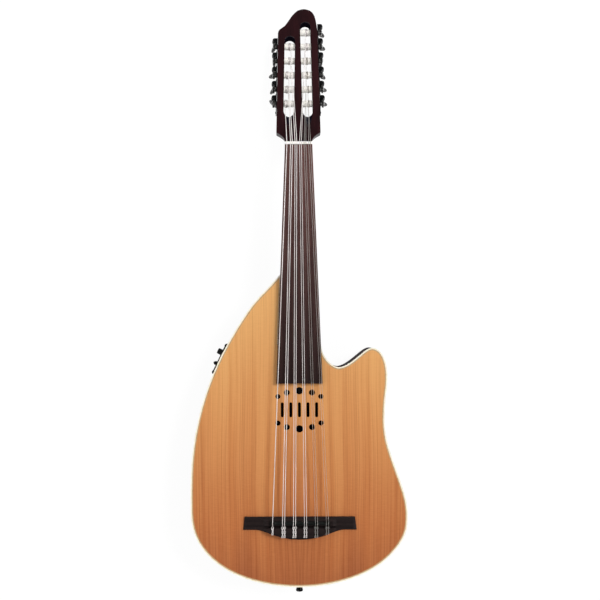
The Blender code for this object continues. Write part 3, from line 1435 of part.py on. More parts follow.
def slider_mesh(name, base):
    """Slider stem and ridged cap, X out of the panel."""
    stem = (SLIDER_STEM_LENGTH / 2, SLIDER_STEM_WIDTH / 2)
    cap = (SLIDER_CAP_LENGTH / 2, SLIDER_CAP_WIDTH / 2)
    levels = (
        (-SEAT_GAP - SLIDER_STEM_REACH, stem), (base, stem), (base, cap),
        (base + SLIDER_CAP_HEIGHT * 0.45, (cap[0] * 0.72, cap[1])),
        (base + SLIDER_CAP_HEIGHT * 0.85, (cap[0] * 0.72, cap[1] * 0.96)),
        (base + SLIDER_CAP_HEIGHT, (cap[0] * 0.5, cap[1] * 0.82)))
    rings = []
    for x, (long_half, wide_half) in levels:
        rings.append([(x, -long_half, -wide_half), (x, long_half, -wide_half),
                      (x, long_half, wide_half), (x, -long_half, wide_half)])
    return loft_mesh(name, rings, 30.0)


def drawer_face_x():
    """Where the drawer's front lies, flush with the wall at its ends."""
    return rim_x_at(DRAWER_MID_Y + BATTERY_LENGTH / 2 + DRAWER_WALL + DRAWER_LIP)


def rim_x_at(y):
    """The left wall's place across at a height y."""
    return wall_frame(y).translation.x


def build_battery_drawer():
    """Slide-out drawer with its battery, in the left wall."""
    face = drawer_face_x()
    half = BATTERY_LENGTH / 2 + DRAWER_WALL
    tall = BATTERY_HEIGHT / 2 + DRAWER_WALL
    reach = DRAWER_FRONT_THICKNESS + BATTERY_WIDTH + 2 * SEAT_GAP + DRAWER_WALL
    place = Matrix.Translation((face, DRAWER_MID_Y, DRAWER_MID_HEIGHT))
    lip = DRAWER_LIP
    front = rounded_rectangle(half + lip, tall + lip, 0.0025, 2)
    body = rounded_rectangle(half, tall, 0.0012, 2)
    rings = [[(x, y, z) for y, z in outline] for x, outline in (
        (0.0, front), (DRAWER_FRONT_THICKNESS, front), (DRAWER_FRONT_THICKNESS, body), (reach, body))]
    drawer = add_object("battery_drawer", loft_mesh("battery_drawer", rings, 30.0), "black_plastic", place)
    well = box_mesh("battery_well", DRAWER_FRONT_THICKNESS,
                    DRAWER_FRONT_THICKNESS + BATTERY_WIDTH + 2 * SEAT_GAP,
                    -BATTERY_LENGTH / 2 - SEAT_GAP, BATTERY_LENGTH / 2 + SEAT_GAP,
                    -BATTERY_HEIGHT / 2 - SEAT_GAP, tall + 0.004)
    combine(drawer, tool_object("battery_well_tool", well, place))
    start = DRAWER_FRONT_THICKNESS + SEAT_GAP
    battery = rounded_rectangle(BATTERY_WIDTH / 2, BATTERY_HEIGHT / 2, 0.002, 2)
    rings = [[(start + BATTERY_WIDTH / 2 + x, y, z) for x, z in battery]
             for y in (-BATTERY_LENGTH / 2, BATTERY_LENGTH / 2)]
    add_object("battery", loft_mesh("battery", rings, 30.0), "steel", place)


def build_jack():
    """Output jack sunk in the right wall, its socket open to the side."""
    place = Matrix.Translation((RIGHT_BOUT_X, RIGHT_BOUT_Y, JACK_HEIGHT))
    outer = -JACK_FLANGE_SUNK
    profile = [(outer - JACK_BARREL_LENGTH, JACK_BARREL_RADIUS),
               (outer - JACK_FLANGE_THICKNESS, JACK_BARREL_RADIUS),
               (outer - JACK_FLANGE_THICKNESS, JACK_FLANGE_RADIUS),
               (outer, JACK_FLANGE_RADIUS)]
    jack = add_object("output_jack", lathe_mesh("output_jack", profile, 16), "black_steel", place)
    bore = lathe_mesh("socket", [(outer - JACK_BORE_LENGTH, JACK_BORE_RADIUS),
                                 (outer + 0.005, JACK_BORE_RADIUS)], 24)
    combine(jack, tool_object("socket_tool", bore, place))


def strap_frame():
    """Frame of the strap button: X runs from the tail into the wood."""
    turn = Matrix.Rotation(math.radians(90), 4, "Z")
    return Matrix.Translation((0.0, TAIL_Y, BODY_DEPTH / 2)) @ turn


def build_strap_button():
    """Strap button on the tail, with its screw."""
    profile = [(STRAP_SCREW_LENGTH, STRAP_SCREW_RADIUS), (-SEAT_GAP, STRAP_SCREW_RADIUS),
               (-SEAT_GAP, STRAP_BASE_RADIUS), (-0.0025, STRAP_BASE_RADIUS),
               (-0.0050, STRAP_WAIST_RADIUS), (-STRAP_LENGTH + 0.0055, STRAP_WAIST_RADIUS),
               (-STRAP_LENGTH + 0.0035, STRAP_CAP_RADIUS), (-STRAP_LENGTH + 0.0006, STRAP_CAP_RADIUS),
               (-STRAP_LENGTH, STRAP_CAP_RADIUS - 0.0008)]
    add_object("strap_button", lathe_mesh("strap_button", profile, 14), "black_steel", strap_frame())


def pickup_lead_hole():
    """Where the pickup's lead goes down through bridge and soundboard."""
    return (SADDLE_HALF_LENGTH - 0.0045, 0.0)


def build_leads():
    """Leads inside the body, from the pickup and to the jack, lying on the back."""
    floor = BACK_WALL + SEAT_GAP + LEAD_RADIUS
    frame = panel_frame()
    behind = -SEAT_GAP - CASE_DEPTH - SEAT_GAP
    low = floor - PANEL_MID_HEIGHT
    jack_x = RIGHT_BOUT_X - JACK_FLANGE_SUNK - JACK_BARREL_LENGTH - SEAT_GAP
    route = [frame @ Vector((behind, 0.012, 0.0)), frame @ Vector((behind - 0.006, 0.012, 0.0)),
             frame @ Vector((behind - 0.014, 0.020, -0.016)),
             frame @ Vector((behind - 0.012, 0.040, low)),
             (-0.105, 0.150, floor), (-0.096, 0.060, floor), (-0.060, -0.020, floor),
             (0.010, -0.045, floor), (0.080, -0.028, floor), (0.110, -0.002, 0.012),
             (jack_x - 0.010, RIGHT_BOUT_Y, JACK_HEIGHT - 0.003),
             (jack_x - 0.003, RIGHT_BOUT_Y, JACK_HEIGHT), (jack_x, RIGHT_BOUT_Y, JACK_HEIGHT)]
    mesh = sweep_mesh("jack_lead", smooth_route(route, 0.020, floor), LEAD_RADIUS, 8)
    add_object("jack_lead", mesh, "black_plastic")

    floor = BACK_WALL + SEAT_GAP + PICKUP_LEAD_RADIUS
    low = floor - PANEL_MID_HEIGHT
    x, y = pickup_lead_hole()
    strip_low = BRIDGE_Z + SADDLE_MOUNT_HEIGHT - SADDLE_SLOT_DEPTH
    route = [(x, y, strip_low), (x, y, TOP_Z - 0.008), (x - 0.002, y + 0.006, 0.040),
             (x - 0.016, 0.030, floor), (0.004, 0.090, floor), (-0.040, 0.150, floor),
             frame @ Vector((behind - 0.016, 0.006, low)),
             frame @ Vector((behind - 0.012, -0.008, -0.014)),
             frame @ Vector((behind - 0.005, -0.010, 0.0)), frame @ Vector((behind, -0.010, 0.0))]
    mesh = sweep_mesh("pickup_lead", smooth_route(route, 0.016, floor), PICKUP_LEAD_RADIUS, 8)
    add_object("pickup_lead", mesh, "black_plastic")


def main():
    """Build every piece of the instrument."""
    build_body_shell()
    build_soundboard()
    build_binding()
    build_braces()
    build_neck()
    build_truss_rod()
    build_fingerboard()
    build_nut()
    build_bridge()
    build_saddle()
    build_pickup()
    build_tuners()
    build_strings()
    build_controls()
    build_battery_drawer()
    build_jack()
    build_strap_button()
    build_leads()
    even_shading()
    bpy.context.view_layer.update()


main()
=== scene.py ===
"""Dress the electric oud for its photograph.

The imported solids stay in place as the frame. This script gives each of them a finish,
puts smooth surfaces in place of the body shell, neck and binding, replaces the strings,
machine heads, controls and strap button by finer pieces, and adds the small trim, the
floor, the light and the camera. Lengths are metres. X runs across the soundboard, Y from
the tail to the head, Z up out of the soundboard.
"""

import json
import logging
import math
from dataclasses import dataclass, field
from enum import Enum
from typing import Sequence

import bmesh
import bpy
import numpy as np
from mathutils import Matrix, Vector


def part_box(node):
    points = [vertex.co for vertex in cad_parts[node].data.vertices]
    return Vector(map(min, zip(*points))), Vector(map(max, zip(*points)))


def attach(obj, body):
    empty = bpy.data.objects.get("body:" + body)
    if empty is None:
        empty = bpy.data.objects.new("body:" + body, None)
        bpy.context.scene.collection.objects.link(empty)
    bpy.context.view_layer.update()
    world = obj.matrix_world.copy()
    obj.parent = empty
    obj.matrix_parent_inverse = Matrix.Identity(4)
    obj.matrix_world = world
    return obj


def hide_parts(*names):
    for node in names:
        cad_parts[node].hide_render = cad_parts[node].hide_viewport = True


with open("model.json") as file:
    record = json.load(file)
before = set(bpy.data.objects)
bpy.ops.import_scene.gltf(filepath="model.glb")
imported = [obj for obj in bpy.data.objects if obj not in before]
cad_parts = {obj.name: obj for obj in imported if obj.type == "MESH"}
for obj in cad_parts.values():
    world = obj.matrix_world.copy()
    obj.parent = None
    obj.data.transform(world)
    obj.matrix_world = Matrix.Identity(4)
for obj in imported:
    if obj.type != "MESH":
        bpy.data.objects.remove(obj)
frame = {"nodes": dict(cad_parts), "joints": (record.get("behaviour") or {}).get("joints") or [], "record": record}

LOG = logging.getLogger("oud")
Array = np.ndarray
Colour = tuple[float, float, float]
Socket = bpy.types.NodeSocket
ROOT_BODY = "instrument"
WHITE: Colour = (1.0, 1.0, 1.0)

# Corners nearer than WELD are one corner. A normal whose Z is over UPWARD looks up.
WELD = 0.000001
UPWARD = 0.9


class Slot(Enum):
    """Finishes named by the record."""

    CEDAR = "cedar"
    MAHOGANY = "dark_mahogany"
    IVORY = "ivory_plastic"
    EBONY = "ebony"
    SPRUCE = "spruce"
    BONE = "bone"
    GRAPHITE = "graphite"
    BLACK_STEEL = "black_steel"
    BLACK_PLASTIC = "black_plastic"
    WOUND = "wound_silver"
    NYLON = "clear_nylon"
    STEEL = "steel"


class Side(Enum):
    """Side of the head: left bass side or right treble side."""

    LEFT = -1
    RIGHT = 1

    @property
    def word(self) -> str:
        """The side's name as the nodes spell it."""
        return self.name.lower()


def body_of(node: str) -> str:
    """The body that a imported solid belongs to."""
    bodies = frame["record"]["behaviour"]["bodies"]
    return next(body for body, nodes in bodies.items() if node in nodes)


# Surfaces

@dataclass
class Skin:
    """A surface worked out as arrays, before it becomes a mesh.

    Attributes:
        points: Corner positions, one row each.
        faces: Corner numbers of every face.
        run: For each point, its distance along the piece and its turn round it.
    """

    points: Array
    faces: list[list[int]]
    run: Array

    def placed(self, matrix: Array) -> "Skin":
        """Return the skin carried by a 4 x 4 matrix."""
        moved = self.points @ matrix[:3, :3].T + matrix[:3, 3]
        return Skin(moved, self.faces, self.run)


def joined(skins: Sequence[Skin]) -> Skin:
    """Put several closed skins into one.

    Args:
        skins: The skins, in order.

    Returns:
        One skin whose faces count on through all of them.
    """
    starts = np.cumsum([0] + [len(s.points) for s in skins[:-1]])
    faces = [[int(start) + c for c in face] for s, start in zip(skins, starts) for face in s.faces]
    return Skin(np.concatenate([s.points for s in skins]), faces,
                np.concatenate([s.run for s in skins]))


def grid(points: Array, looped: bool = False, run: Array | None = None) -> Skin:
    """Skin a grid of points whose rows are closed rings.

    Corner (r, c) joins (r, c + 1), (r + 1, c + 1) and (r + 1, c). The first and last rings
    are closed by a flat face unless the rows meet in a loop.

    Args:
        points: Array of rows x columns x 3.
        looped: Whether the last row joins the first.
        run: Distance of each row along the piece.

    Returns:
        The closed skin.
    """
    rows, columns = points.shape[:2]
    r = np.arange(rows if looped else rows - 1)[:, None]
    c = np.arange(columns)[None, :]
    below, beside = (r + 1) % rows, (c + 1) % columns
    quads = np.stack(np.broadcast_arrays(r * columns + c, r * columns + beside,
                                         below * columns + beside, below * columns + c), -1)
    faces = quads.reshape(-1, 4).tolist()
    if not looped:
        faces.append(list(range(columns))[::-1])
        faces.append(list(range((rows - 1) * columns, rows * columns)))
    along = np.zeros(rows) if run is None else run
    turn = np.arange(columns) / columns
    uv = np.stack(np.meshgrid(along, turn, indexing="ij"), -1).reshape(-1, 2)
    return Skin(points.reshape(-1, 3), faces, uv)


def turns_round(count: int) -> Array:
    """Equal turns round a full circle, from 0."""
    return np.linspace(0, 2 * math.pi, count, endpoint=False)


def lathe(profile: Sequence[tuple[float, float]], sides: int = 32) -> Skin:
    """Turn a profile about X: a point is (x, r cos t, r sin t).

    Args:
        profile: Pairs of distance along X and radius.
        sides: Steps round.

    Returns:
        The closed skin.
    """
    shape = np.array(profile, float)
    turn = turns_round(sides)
    x = np.broadcast_to(shape[:, :1], (len(shape), sides))
    rings = np.stack([x, shape[:, 1:] * np.cos(turn), shape[:, 1:] * np.sin(turn)], -1)
    return grid(rings, run=shape[:, 0])


def frames_along(path: Array) -> tuple[Array, Array]:
    """Carry a pair of cross directions along a path without twisting them.

    Each step reflects the pair in the plane between two points, then in the plane
    between the old and the new heading.

    Args:
        path: Points of the path.

    Returns:
        The two cross directions at every point.
    """
    heading = np.gradient(path, axis=0)
    heading /= np.linalg.norm(heading, axis=1, keepdims=True)
    start = np.eye(3)[np.argmin(np.abs(heading[0]))]
    first = np.cross(start, heading[0])
    normals = [first / np.linalg.norm(first)]
    for here, there, old, new in zip(path, path[1:], heading, heading[1:]):
        step = there - here
        size = step @ step
        normal = normals[-1] - 2 / size * (step @ normals[-1]) * step
        reflected = old - 2 / size * (step @ old) * step
        bend = new - reflected
        scale = bend @ bend
        if scale > 1e-18:
            normal = normal - 2 / scale * (bend @ normal) * bend
        normals.append(normal / np.linalg.norm(normal))
    normal = np.array(normals)
    return normal, np.cross(heading, normal)


def tube(path: Array, radius: float | Array, sides: int = 12) -> Skin:
    """Sweep a round section along a path.

    A point is p + r (n cos t + b sin t), with n and b the cross directions.

    Args:
        path: Points of the middle line.
        radius: Radius, the same all along or one for each point.
        sides: Steps round.

    Returns:
        The closed skin, with its distance along the path.
    """
    normal, cross = frames_along(path)
    turn = turns_round(sides)[None, :, None]
    size = np.broadcast_to(np.asarray(radius, float), (len(path),))[:, None, None]
    outwards = normal[:, None] * np.cos(turn) + cross[:, None] * np.sin(turn)
    steps = np.linalg.norm(np.diff(path, axis=0), axis=1)
    return grid(path[:, None] + size * outwards, run=np.concatenate([[0.0], np.cumsum(steps)]))


def rounded(corners: Array, cut: float, steps: int = 5) -> Array:
    """Round the corners of a broken line.

    Each corner becomes a curve a(1-t)^2 + 2 c t (1-t) + b t^2 between points cut back
    along its two sides.

    Args:
        corners: Points of the broken line.
        cut: How far each corner is cut back at most.
        steps: Points on each curve.

    Returns:
        The rounded line.
    """
    before, corner, after = corners[:-2], corners[1:-1], corners[2:]
    to_before, to_after = before - corner, after - corner
    len_before = np.linalg.norm(to_before, axis=1, keepdims=True)
    len_after = np.linalg.norm(to_after, axis=1, keepdims=True)
    a = corner + to_before / len_before * np.minimum(cut, len_before * 0.45)
    b = corner + to_after / len_after * np.minimum(cut, len_after * 0.45)
    t = np.linspace(0, 1, steps)[None, :, None]
    curves = a[:, None] * (1 - t) ** 2 + 2 * corner[:, None] * t * (1 - t) + b[:, None] * t ** 2
    return np.concatenate([corners[:1], curves.reshape(-1, 3), corners[-1:]])


def eased(controls: Array, steps: int = 5) -> Array:
    """Run a smooth curve through control points, each span a cubic set by its neighbours.

    Args:
        controls: Points that the curve passes.
        steps: Points on each span.

    Returns:
        Points of the curve.
    """
    padded = np.concatenate([[2 * controls[0] - controls[1]], controls,
                             [2 * controls[-1] - controls[-2]]])
    a, b, c, d = padded[:-3, None], padded[1:-2, None], padded[2:-1, None], padded[3:, None]
    t = np.linspace(0, 1, steps, endpoint=False)[None, :, None]
    spans = 0.5 * (2 * b + (c - a) * t + (2 * a - 5 * b + 4 * c - d) * t ** 2
                   + (3 * b - a - 3 * c + d) * t ** 3)
    return np.concatenate([spans.reshape(-1, 3), controls[-1:]])


def rounded_box(size: Sequence[float], centre: Sequence[float], corner: float,
                ease: float = 0.0) -> Skin:
    """A block with rounded upright corners and an eased rim, X its height.

    Args:
        size: Height along X, then the full lengths along Y and Z.
        centre: Middle of its base.
        corner: Radius of the upright corners.
        ease: How far the rim of the top is drawn in.

    Returns:
        The closed skin.
    """
    height, length, width = size
    steps = 24
    turn = turns_round(steps) + math.pi / steps
    reach = np.array([length / 2 - corner, width / 2 - corner])
    unit = np.stack([np.cos(turn), np.sin(turn)], -1)
    outline = np.sign(unit) * reach + unit * corner
    inner = np.sign(unit) * reach + unit * max(corner - ease, corner * 0.1)
    rings = [(0.0, outline), (height - ease, outline),
             (height - ease * 0.3, (outline + 2 * inner) / 3), (height, inner)]
    points = np.array([np.column_stack([np.full(steps, x), ring]) for x, ring in rings])
    return grid(points + np.asarray(centre, float), run=np.array([x for x, _ in rings]))


def scene_object(name: str, data: bpy.types.ID) -> bpy.types.Object:
    """Make an object of a mesh, a lamp or a camera and put it in the scene."""
    made = bpy.data.objects.new(name, data)
    bpy.context.scene.collection.objects.link(made)
    return made


def make_piece(name: str, skin: Skin, finish: "Finish", body: str = ROOT_BODY,
               replaces: Sequence[str] = (), sharp: float = 35.0) -> bpy.types.Object:
    """Turn a skin into a finished piece that rides on a body.

    Args:
        name: Name of the piece.
        skin: Its surface.
        finish: Its finish.
        body: The body that it moves with.
        replaces: CAD nodes that it stands for.
        sharp: Angle in degrees past which an edge stays sharp.

    Returns:
        The new object.
    """
    mesh = bpy.data.meshes.new(name)
    mesh.from_pydata(skin.points.tolist(), [], skin.faces)
    form = bmesh.new()
    form.from_mesh(mesh)
    bmesh.ops.recalc_face_normals(form, faces=form.faces)
    form.to_mesh(mesh)
    form.free()
    corners = np.zeros(len(mesh.loops), np.int32)
    mesh.loops.foreach_get("vertex_index", corners)
    layer = mesh.uv_layers.new(name="run")
    layer.data.foreach_set("uv", skin.run[corners].astype(np.float32).ravel())
    mesh.shade_smooth()
    mesh.set_sharp_from_angle(angle=math.radians(sharp))
    mesh.materials.append(finish.material())
    piece = scene_object(name, mesh)
    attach(piece, body)
    if replaces:
        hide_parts(*replaces)
    return piece


def dress_node(node: str, finish: "Finish") -> None:
    """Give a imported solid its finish."""
    piece = frame["nodes"][node]
    piece.data.materials.clear()
    piece.data.materials.append(finish.material())


@dataclass
class Outline:
    """The soundboard's edge, and the smooth curve that passes through its corners.

    Attributes:
        corners: The corners in order, two numbers each.
        steps: Parts that each side is divided into.
        sharp_turn: Turn in degrees past which a corner stays a corner.
        full: Depth inside the edge down to which pieces follow the curve.
        fade: Depth at which they no longer do.
        least_bow: Sides that bow less than this stay straight.
        least_run: Edges shorter than this along a side stay whole.
        level: Faces whose normal's Z is over this, up or down, are level.
        flat_turn: Level faces that turn less than this in degrees become one face.
        least_level: Share of a normal that is level on an upright face, at least.
        least_facing: How nearly an upright face looks out of the edge, at least.
    """

    corners: Array
    steps: int = 5
    sharp_turn: float = 45.0
    full: float = 0.009
    fade: float = 0.024
    least_bow: float = 0.00003
    least_run: float = 0.003
    level: float = 0.999
    flat_turn: float = 0.1
    least_level: float = 0.35
    least_facing: float = 0.88

    def __post_init__(self) -> None:
        """Work out the sides, and the curve's direction at both ends of each.

        The direction at a corner is that of the circle through it and its two neighbours.
        """
        x, y = self.corners.T
        if np.sum(x * np.roll(y, -1) - y * np.roll(x, -1)) < 0:
            self.corners = self.corners[::-1]
        self.side = np.roll(self.corners, -1, axis=0) - self.corners
        self.length = np.linalg.norm(self.side, axis=1, keepdims=True)
        ahead = self.side / self.length
        behind, before = np.roll(ahead, 1, axis=0), np.roll(self.length, 1, axis=0)
        lean = ahead * before + behind * self.length
        lean /= np.linalg.norm(lean, axis=1, keepdims=True)
        least = math.cos(math.radians(self.sharp_turn))
        corner = np.sum(ahead * behind, axis=1, keepdims=True) < least
        start = np.where(corner, ahead, lean)
        end = np.where(np.roll(corner, -1, axis=0), ahead, np.roll(lean, -1, axis=0))
        self.start, self.end = (start - ahead) * self.length, (end - ahead) * self.length

    def nearest(self, places: Array) -> tuple[Array, Array, Array]:
        """Find the side that each place is nearest to.

        Args:
            places: Places, two numbers each.

        Returns:
            The side's number, how far along it from 0 to 1, and the distance outside it.
        """
        gap = places[:, None, :] - self.corners
        share = np.clip(np.sum(gap * self.side, axis=-1) / self.length[:, 0] ** 2, 0, 1)
        off = gap - share[..., None] * self.side
        index = np.argmin(np.sum(off ** 2, axis=-1), axis=1)
        rows = np.arange(len(places))
        off, side = off[rows, index], self.side[index]
        outside = np.sign(off[:, 0] * side[:, 1] - off[:, 1] * side[:, 0])
        return index, share[rows, index][:, None], outside * np.linalg.norm(off, axis=1)

    def curve(self, index: Array, share: Array) -> tuple[Array, Array]:
        """The curve beside a side, as a cubic with a given direction at both ends.

        Args:
            index: Numbers of the sides.
            share: How far along them.

        Returns:
            The way from the straight side to the curve, and the curve's direction.
        """
        start, end = self.start[index], self.end[index]
        bow = (share ** 3 - 2 * share ** 2 + share) * start + (share ** 3 - share ** 2) * end
        along = (self.side[index] + (3 * share ** 2 - 4 * share + 1) * start
                 + (3 * share ** 2 - 2 * share) * end)
        return bow, along / np.linalg.norm(along, axis=1, keepdims=True)

    def points(self) -> Array:
        """Points of the curve in order, a few to each side."""
        index = np.repeat(np.arange(len(self.corners)), self.steps)
        share = np.tile(np.arange(self.steps) / self.steps, len(self.corners))[:, None]
        return self.corners[index] + share * self.side[index] + self.curve(index, share)[0]

    def bend(self, form: bmesh.types.BMesh) -> None:
        """Divide a solid's faces along the outline and move them out to the curve.

        The triangles of each level face are joined before and cut again after, so that
        none of them folds over.

        Args:
            form: The solid, changed in place.
        """
        flat = [edge for edge in form.edges
                if all(abs(face.normal.z) > self.level for face in edge.link_faces)]
        bmesh.ops.dissolve_limit(form, angle_limit=math.radians(self.flat_turn), verts=[],
                                 edges=flat)
        form.verts.index_update()
        form.edges.ensure_lookup_table()
        places = np.array([vertex.co.xy for vertex in form.verts])
        ends = np.array([[vertex.index for vertex in edge.verts] for edge in form.edges])
        first, last = places[ends[:, 0]], places[ends[:, 1]]
        index, _, middle = self.nearest((first + last) / 2)
        run = np.abs(np.sum((last - first) * self.side[index], axis=1)) / self.length[index, 0]
        depth = np.minimum(self.nearest(places)[2][ends].min(axis=1), middle)
        half = np.full((len(self.corners), 1), 0.5)
        bow = np.linalg.norm(self.curve(np.arange(len(self.corners)), half)[0], axis=1)
        chosen = (run > self.least_run) & (depth > -self.full)
        chosen &= bow[index] > self.least_bow
        bmesh.ops.subdivide_edges(form, edges=[form.edges[i] for i in np.flatnonzero(chosen)],
                                  cuts=self.steps - 1, use_grid_fill=True)
        index, share, out = self.nearest(np.array([vertex.co.xy for vertex in form.verts]))
        hold = np.clip((out + self.fade) / (self.fade - self.full), 0, 1)[:, None]
        for vertex, move in zip(form.verts, self.curve(index, share)[0] * hold):
            vertex.co.x += move[0]
            vertex.co.y += move[1]
        bmesh.ops.triangulate(form, faces=form.faces[:])

    def steer(self, places: Array, normals: Array) -> Array:
        """Turn the normals of upright faces to those of the curve.

        Args:
            places: Where the normals stand.
            normals: The normals.

        Returns:
            The normals, turned where they look out of the edge.
        """
        index, share, out = self.nearest(places[:, :2])
        along = self.curve(index, share)[1]
        across = np.column_stack([along[:, 1], -along[:, 0]])
        level = np.linalg.norm(normals[:, :2], axis=1)
        upright = (level > self.least_level) & (out > -self.full)
        upright &= np.sum(normals[:, :2] * across, axis=1) > self.least_facing * level
        turned_out = normals.copy()
        turned_out[upright, :2] = across[upright] * level[upright, None]
        return turned_out


def board_outline(flatness: float = 0.00002) -> Outline:
    """The outer edge of the soundboard's face.

    Args:
        flatness: How far below the board's highest corner its face may lie.

    Returns:
        The outline through its corners.
    """
    form = bmesh.new()
    form.from_mesh(frame["nodes"]["soundboard"].data)
    bmesh.ops.remove_doubles(form, verts=form.verts, dist=WELD)
    bmesh.ops.recalc_face_normals(form, faces=form.faces)
    level = max(v.co.z for v in form.verts) - flatness
    pairs: dict[int, list[int]] = {}
    for edge in form.edges:
        if min(v.co.z for v in edge.verts) < level or len(edge.link_faces) != 2:
            continue
        up = [face.normal.z > UPWARD for face in edge.link_faces]
        if up[0] != up[1]:
            a, b = (v.index for v in edge.verts)
            pairs.setdefault(a, []).append(b)
            pairs.setdefault(b, []).append(a)
    places = np.array([v.co for v in form.verts])
    form.free()
    start = min(pairs, key=lambda i: places[i][0])
    order, previous, here = [start], -1, start
    while True:
        ahead = [i for i in pairs[here] if i != previous]
        previous, here = here, ahead[0]
        if here == start:
            break
        order.append(here)
    return Outline(places[order][:, :2])


def smooth_node(node: str, finish: "Finish", outline: Outline | None = None,
                sharp: float = 30.0, flat_sharp: float = 2.0) -> None:
    """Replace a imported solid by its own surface, welded and shaded smooth over its facets.

    Args:
        node: The solid.
        finish: Its finish.
        outline: Outline whose curve its upright faces follow.
        sharp: Angle in degrees past which an edge stays sharp.
        flat_sharp: The same between two faces that both look up.
    """
    mesh = frame["nodes"][node].data.copy()
    form = bmesh.new()
    form.from_mesh(mesh)
    bmesh.ops.remove_doubles(form, verts=form.verts, dist=WELD)
    if outline is not None:
        outline.bend(form)
    form.normal_update()
    for edge in form.edges:
        tops = all(face.normal.z > UPWARD for face in edge.link_faces)
        edge.smooth = edge.calc_face_angle(0.0) < math.radians(flat_sharp if tops else sharp)
    for face in form.faces:
        face.smooth = True
    form.to_mesh(mesh)
    form.free()
    mesh.materials.clear()
    mesh.materials.append(finish.material())
    piece = scene_object(node + "_smooth", mesh)
    even = piece.modifiers.new("even", "WEIGHTED_NORMAL")
    even.keep_sharp = True
    if outline is not None:
        bpy.context.view_layer.update()
        shaded = piece.evaluated_get(bpy.context.evaluated_depsgraph_get()).data
        normals = np.array([corner.vector for corner in shaded.corner_normals])
        places = np.array([mesh.vertices[loop.vertex_index].co for loop in mesh.loops])
        piece.modifiers.remove(even)
        mesh.normals_split_custom_set(outline.steer(places, normals).tolist())
    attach(piece, body_of(node))
    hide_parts(node)


# Finishes

class Graph:
    """A material's node tree, with short ways to add and join its nodes."""

    def __init__(self, name: str) -> None:
        """Start an empty finish with one shader.

        Args:
            name: Name of the material.
        """
        self.made = bpy.data.materials.new(name)
        self.made.use_nodes = True
        self.tree = self.made.node_tree
        self.shader = self.tree.nodes["Principled BSDF"]

    def node(self, kind: str, **settings: object) -> bpy.types.Node:
        """Add a node of a kind with its settings."""
        made = self.tree.nodes.new(kind)
        for key, value in settings.items():
            setattr(made, key, value)
        return made

    def feed(self, socket: Socket, value: object) -> None:
        """Link a socket into another, or set it to a plain value."""
        if isinstance(value, bpy.types.NodeSocket):
            self.tree.links.new(value, socket)
        else:
            socket.default_value = value

    def number(self, operation: str, a: object, b: object = 0.0) -> Socket:
        """Work out one number from one or two others."""
        made = self.node("ShaderNodeMath", operation=operation)
        self.feed(made.inputs[0], a)
        self.feed(made.inputs[1], b)
        return made.outputs[0]

    def place(self) -> tuple[Socket, Socket, Socket]:
        """The three coordinates of a point on the piece."""
        made = self.node("ShaderNodeSeparateXYZ")
        self.feed(made.inputs[0], self.node("ShaderNodeTexCoord").outputs["Object"])
        return made.outputs[0], made.outputs[1], made.outputs[2]

    def stretched(self, x: Socket, y: Socket, z: Socket, scale: Sequence[float]) -> Socket:
        """A coordinate with each axis stretched by its own number."""
        made = self.node("ShaderNodeCombineXYZ")
        for socket, value, size in zip(made.inputs, (x, y, z), scale):
            self.feed(socket, self.number("MULTIPLY", value, size))
        return made.outputs[0]

    def noise(self, vector: Socket, scale: float = 1.0, detail: float = 2.0,
              roughness: float = 0.5) -> Socket:
        """Smooth noise between about 0 and 1."""
        made = self.node("ShaderNodeTexNoise")
        self.feed(made.inputs["Vector"], vector)
        made.inputs["Scale"].default_value = scale
        made.inputs["Detail"].default_value = detail
        made.inputs["Roughness"].default_value = roughness
        return made.outputs[0]

    def spread(self, value: Socket, low: float, high: float, to_low: float = 0.0,
               to_high: float = 1.0) -> Socket:
        """Map a number from one range to another, held at its ends."""
        made = self.node("ShaderNodeMapRange")
        for socket, number in zip(made.inputs, (value, low, high, to_low, to_high)):
            self.feed(socket, number)
        return made.outputs[0]

    def swing(self, noise: Socket, at_low: float, at_high: float) -> Socket:
        """Map the range that noise mostly keeps to, 0.3 to 0.7, to two numbers."""
        return self.spread(noise, 0.3, 0.7, at_low, at_high)

    def ramp(self, factor: Socket, stops: Sequence[tuple[float, Colour]]) -> Socket:
        """A colour that runs through stops as the factor goes from 0 to 1."""
        made = self.node("ShaderNodeValToRGB")
        self.feed(made.inputs[0], factor)
        row = made.color_ramp.elements
        while len(row) < len(stops):
            row.new(0.5)
        for element, (place, colour) in zip(row, stops):
            element.position = place
            element.color = (*colour, 1.0)
        return made.outputs[0]

    def blend(self, mode: str, factor: object, a: object, b: object) -> Socket:
        """Mix two colours in a given way."""
        made = self.node("ShaderNodeMix", data_type="RGBA", blend_type=mode)
        self.feed(made.inputs[0], factor)
        for socket, value in ((made.inputs[6], a), (made.inputs[7], b)):
            self.feed(socket, (*value, 1.0) if isinstance(value, tuple) else value)
        return made.outputs[2]

    def relief(self, height: Socket, depth: float, strength: float = 1.0) -> None:
        """Raise the surface by a height times a depth in metres."""
        made = self.node("ShaderNodeBump")
        made.inputs["Strength"].default_value = strength
        made.inputs["Distance"].default_value = depth
        self.feed(made.inputs["Height"], height)
        self.feed(self.shader.inputs["Normal"], made.outputs[0])

    def set(self, **values: object) -> None:
        """Set or link the shader's sockets, an underscore standing for a space."""
        for key, value in values.items():
            socket = self.shader.inputs[key.replace("_", " ")]
            self.feed(socket, (*value, 1.0) if isinstance(value, tuple) else value)


@dataclass(frozen=True)
class Finish:
    """A finish that is built once and then shared."""

    name: str
    slot: Slot

    def material(self) -> bpy.types.Material:
        """The built material, made on first use."""
        found = bpy.data.materials.get("look_" + self.name)
        return found if found else self.build(Graph("look_" + self.name))

    def build(self, graph: Graph) -> bpy.types.Material:
        """Build the finish's nodes."""
        raise NotImplementedError


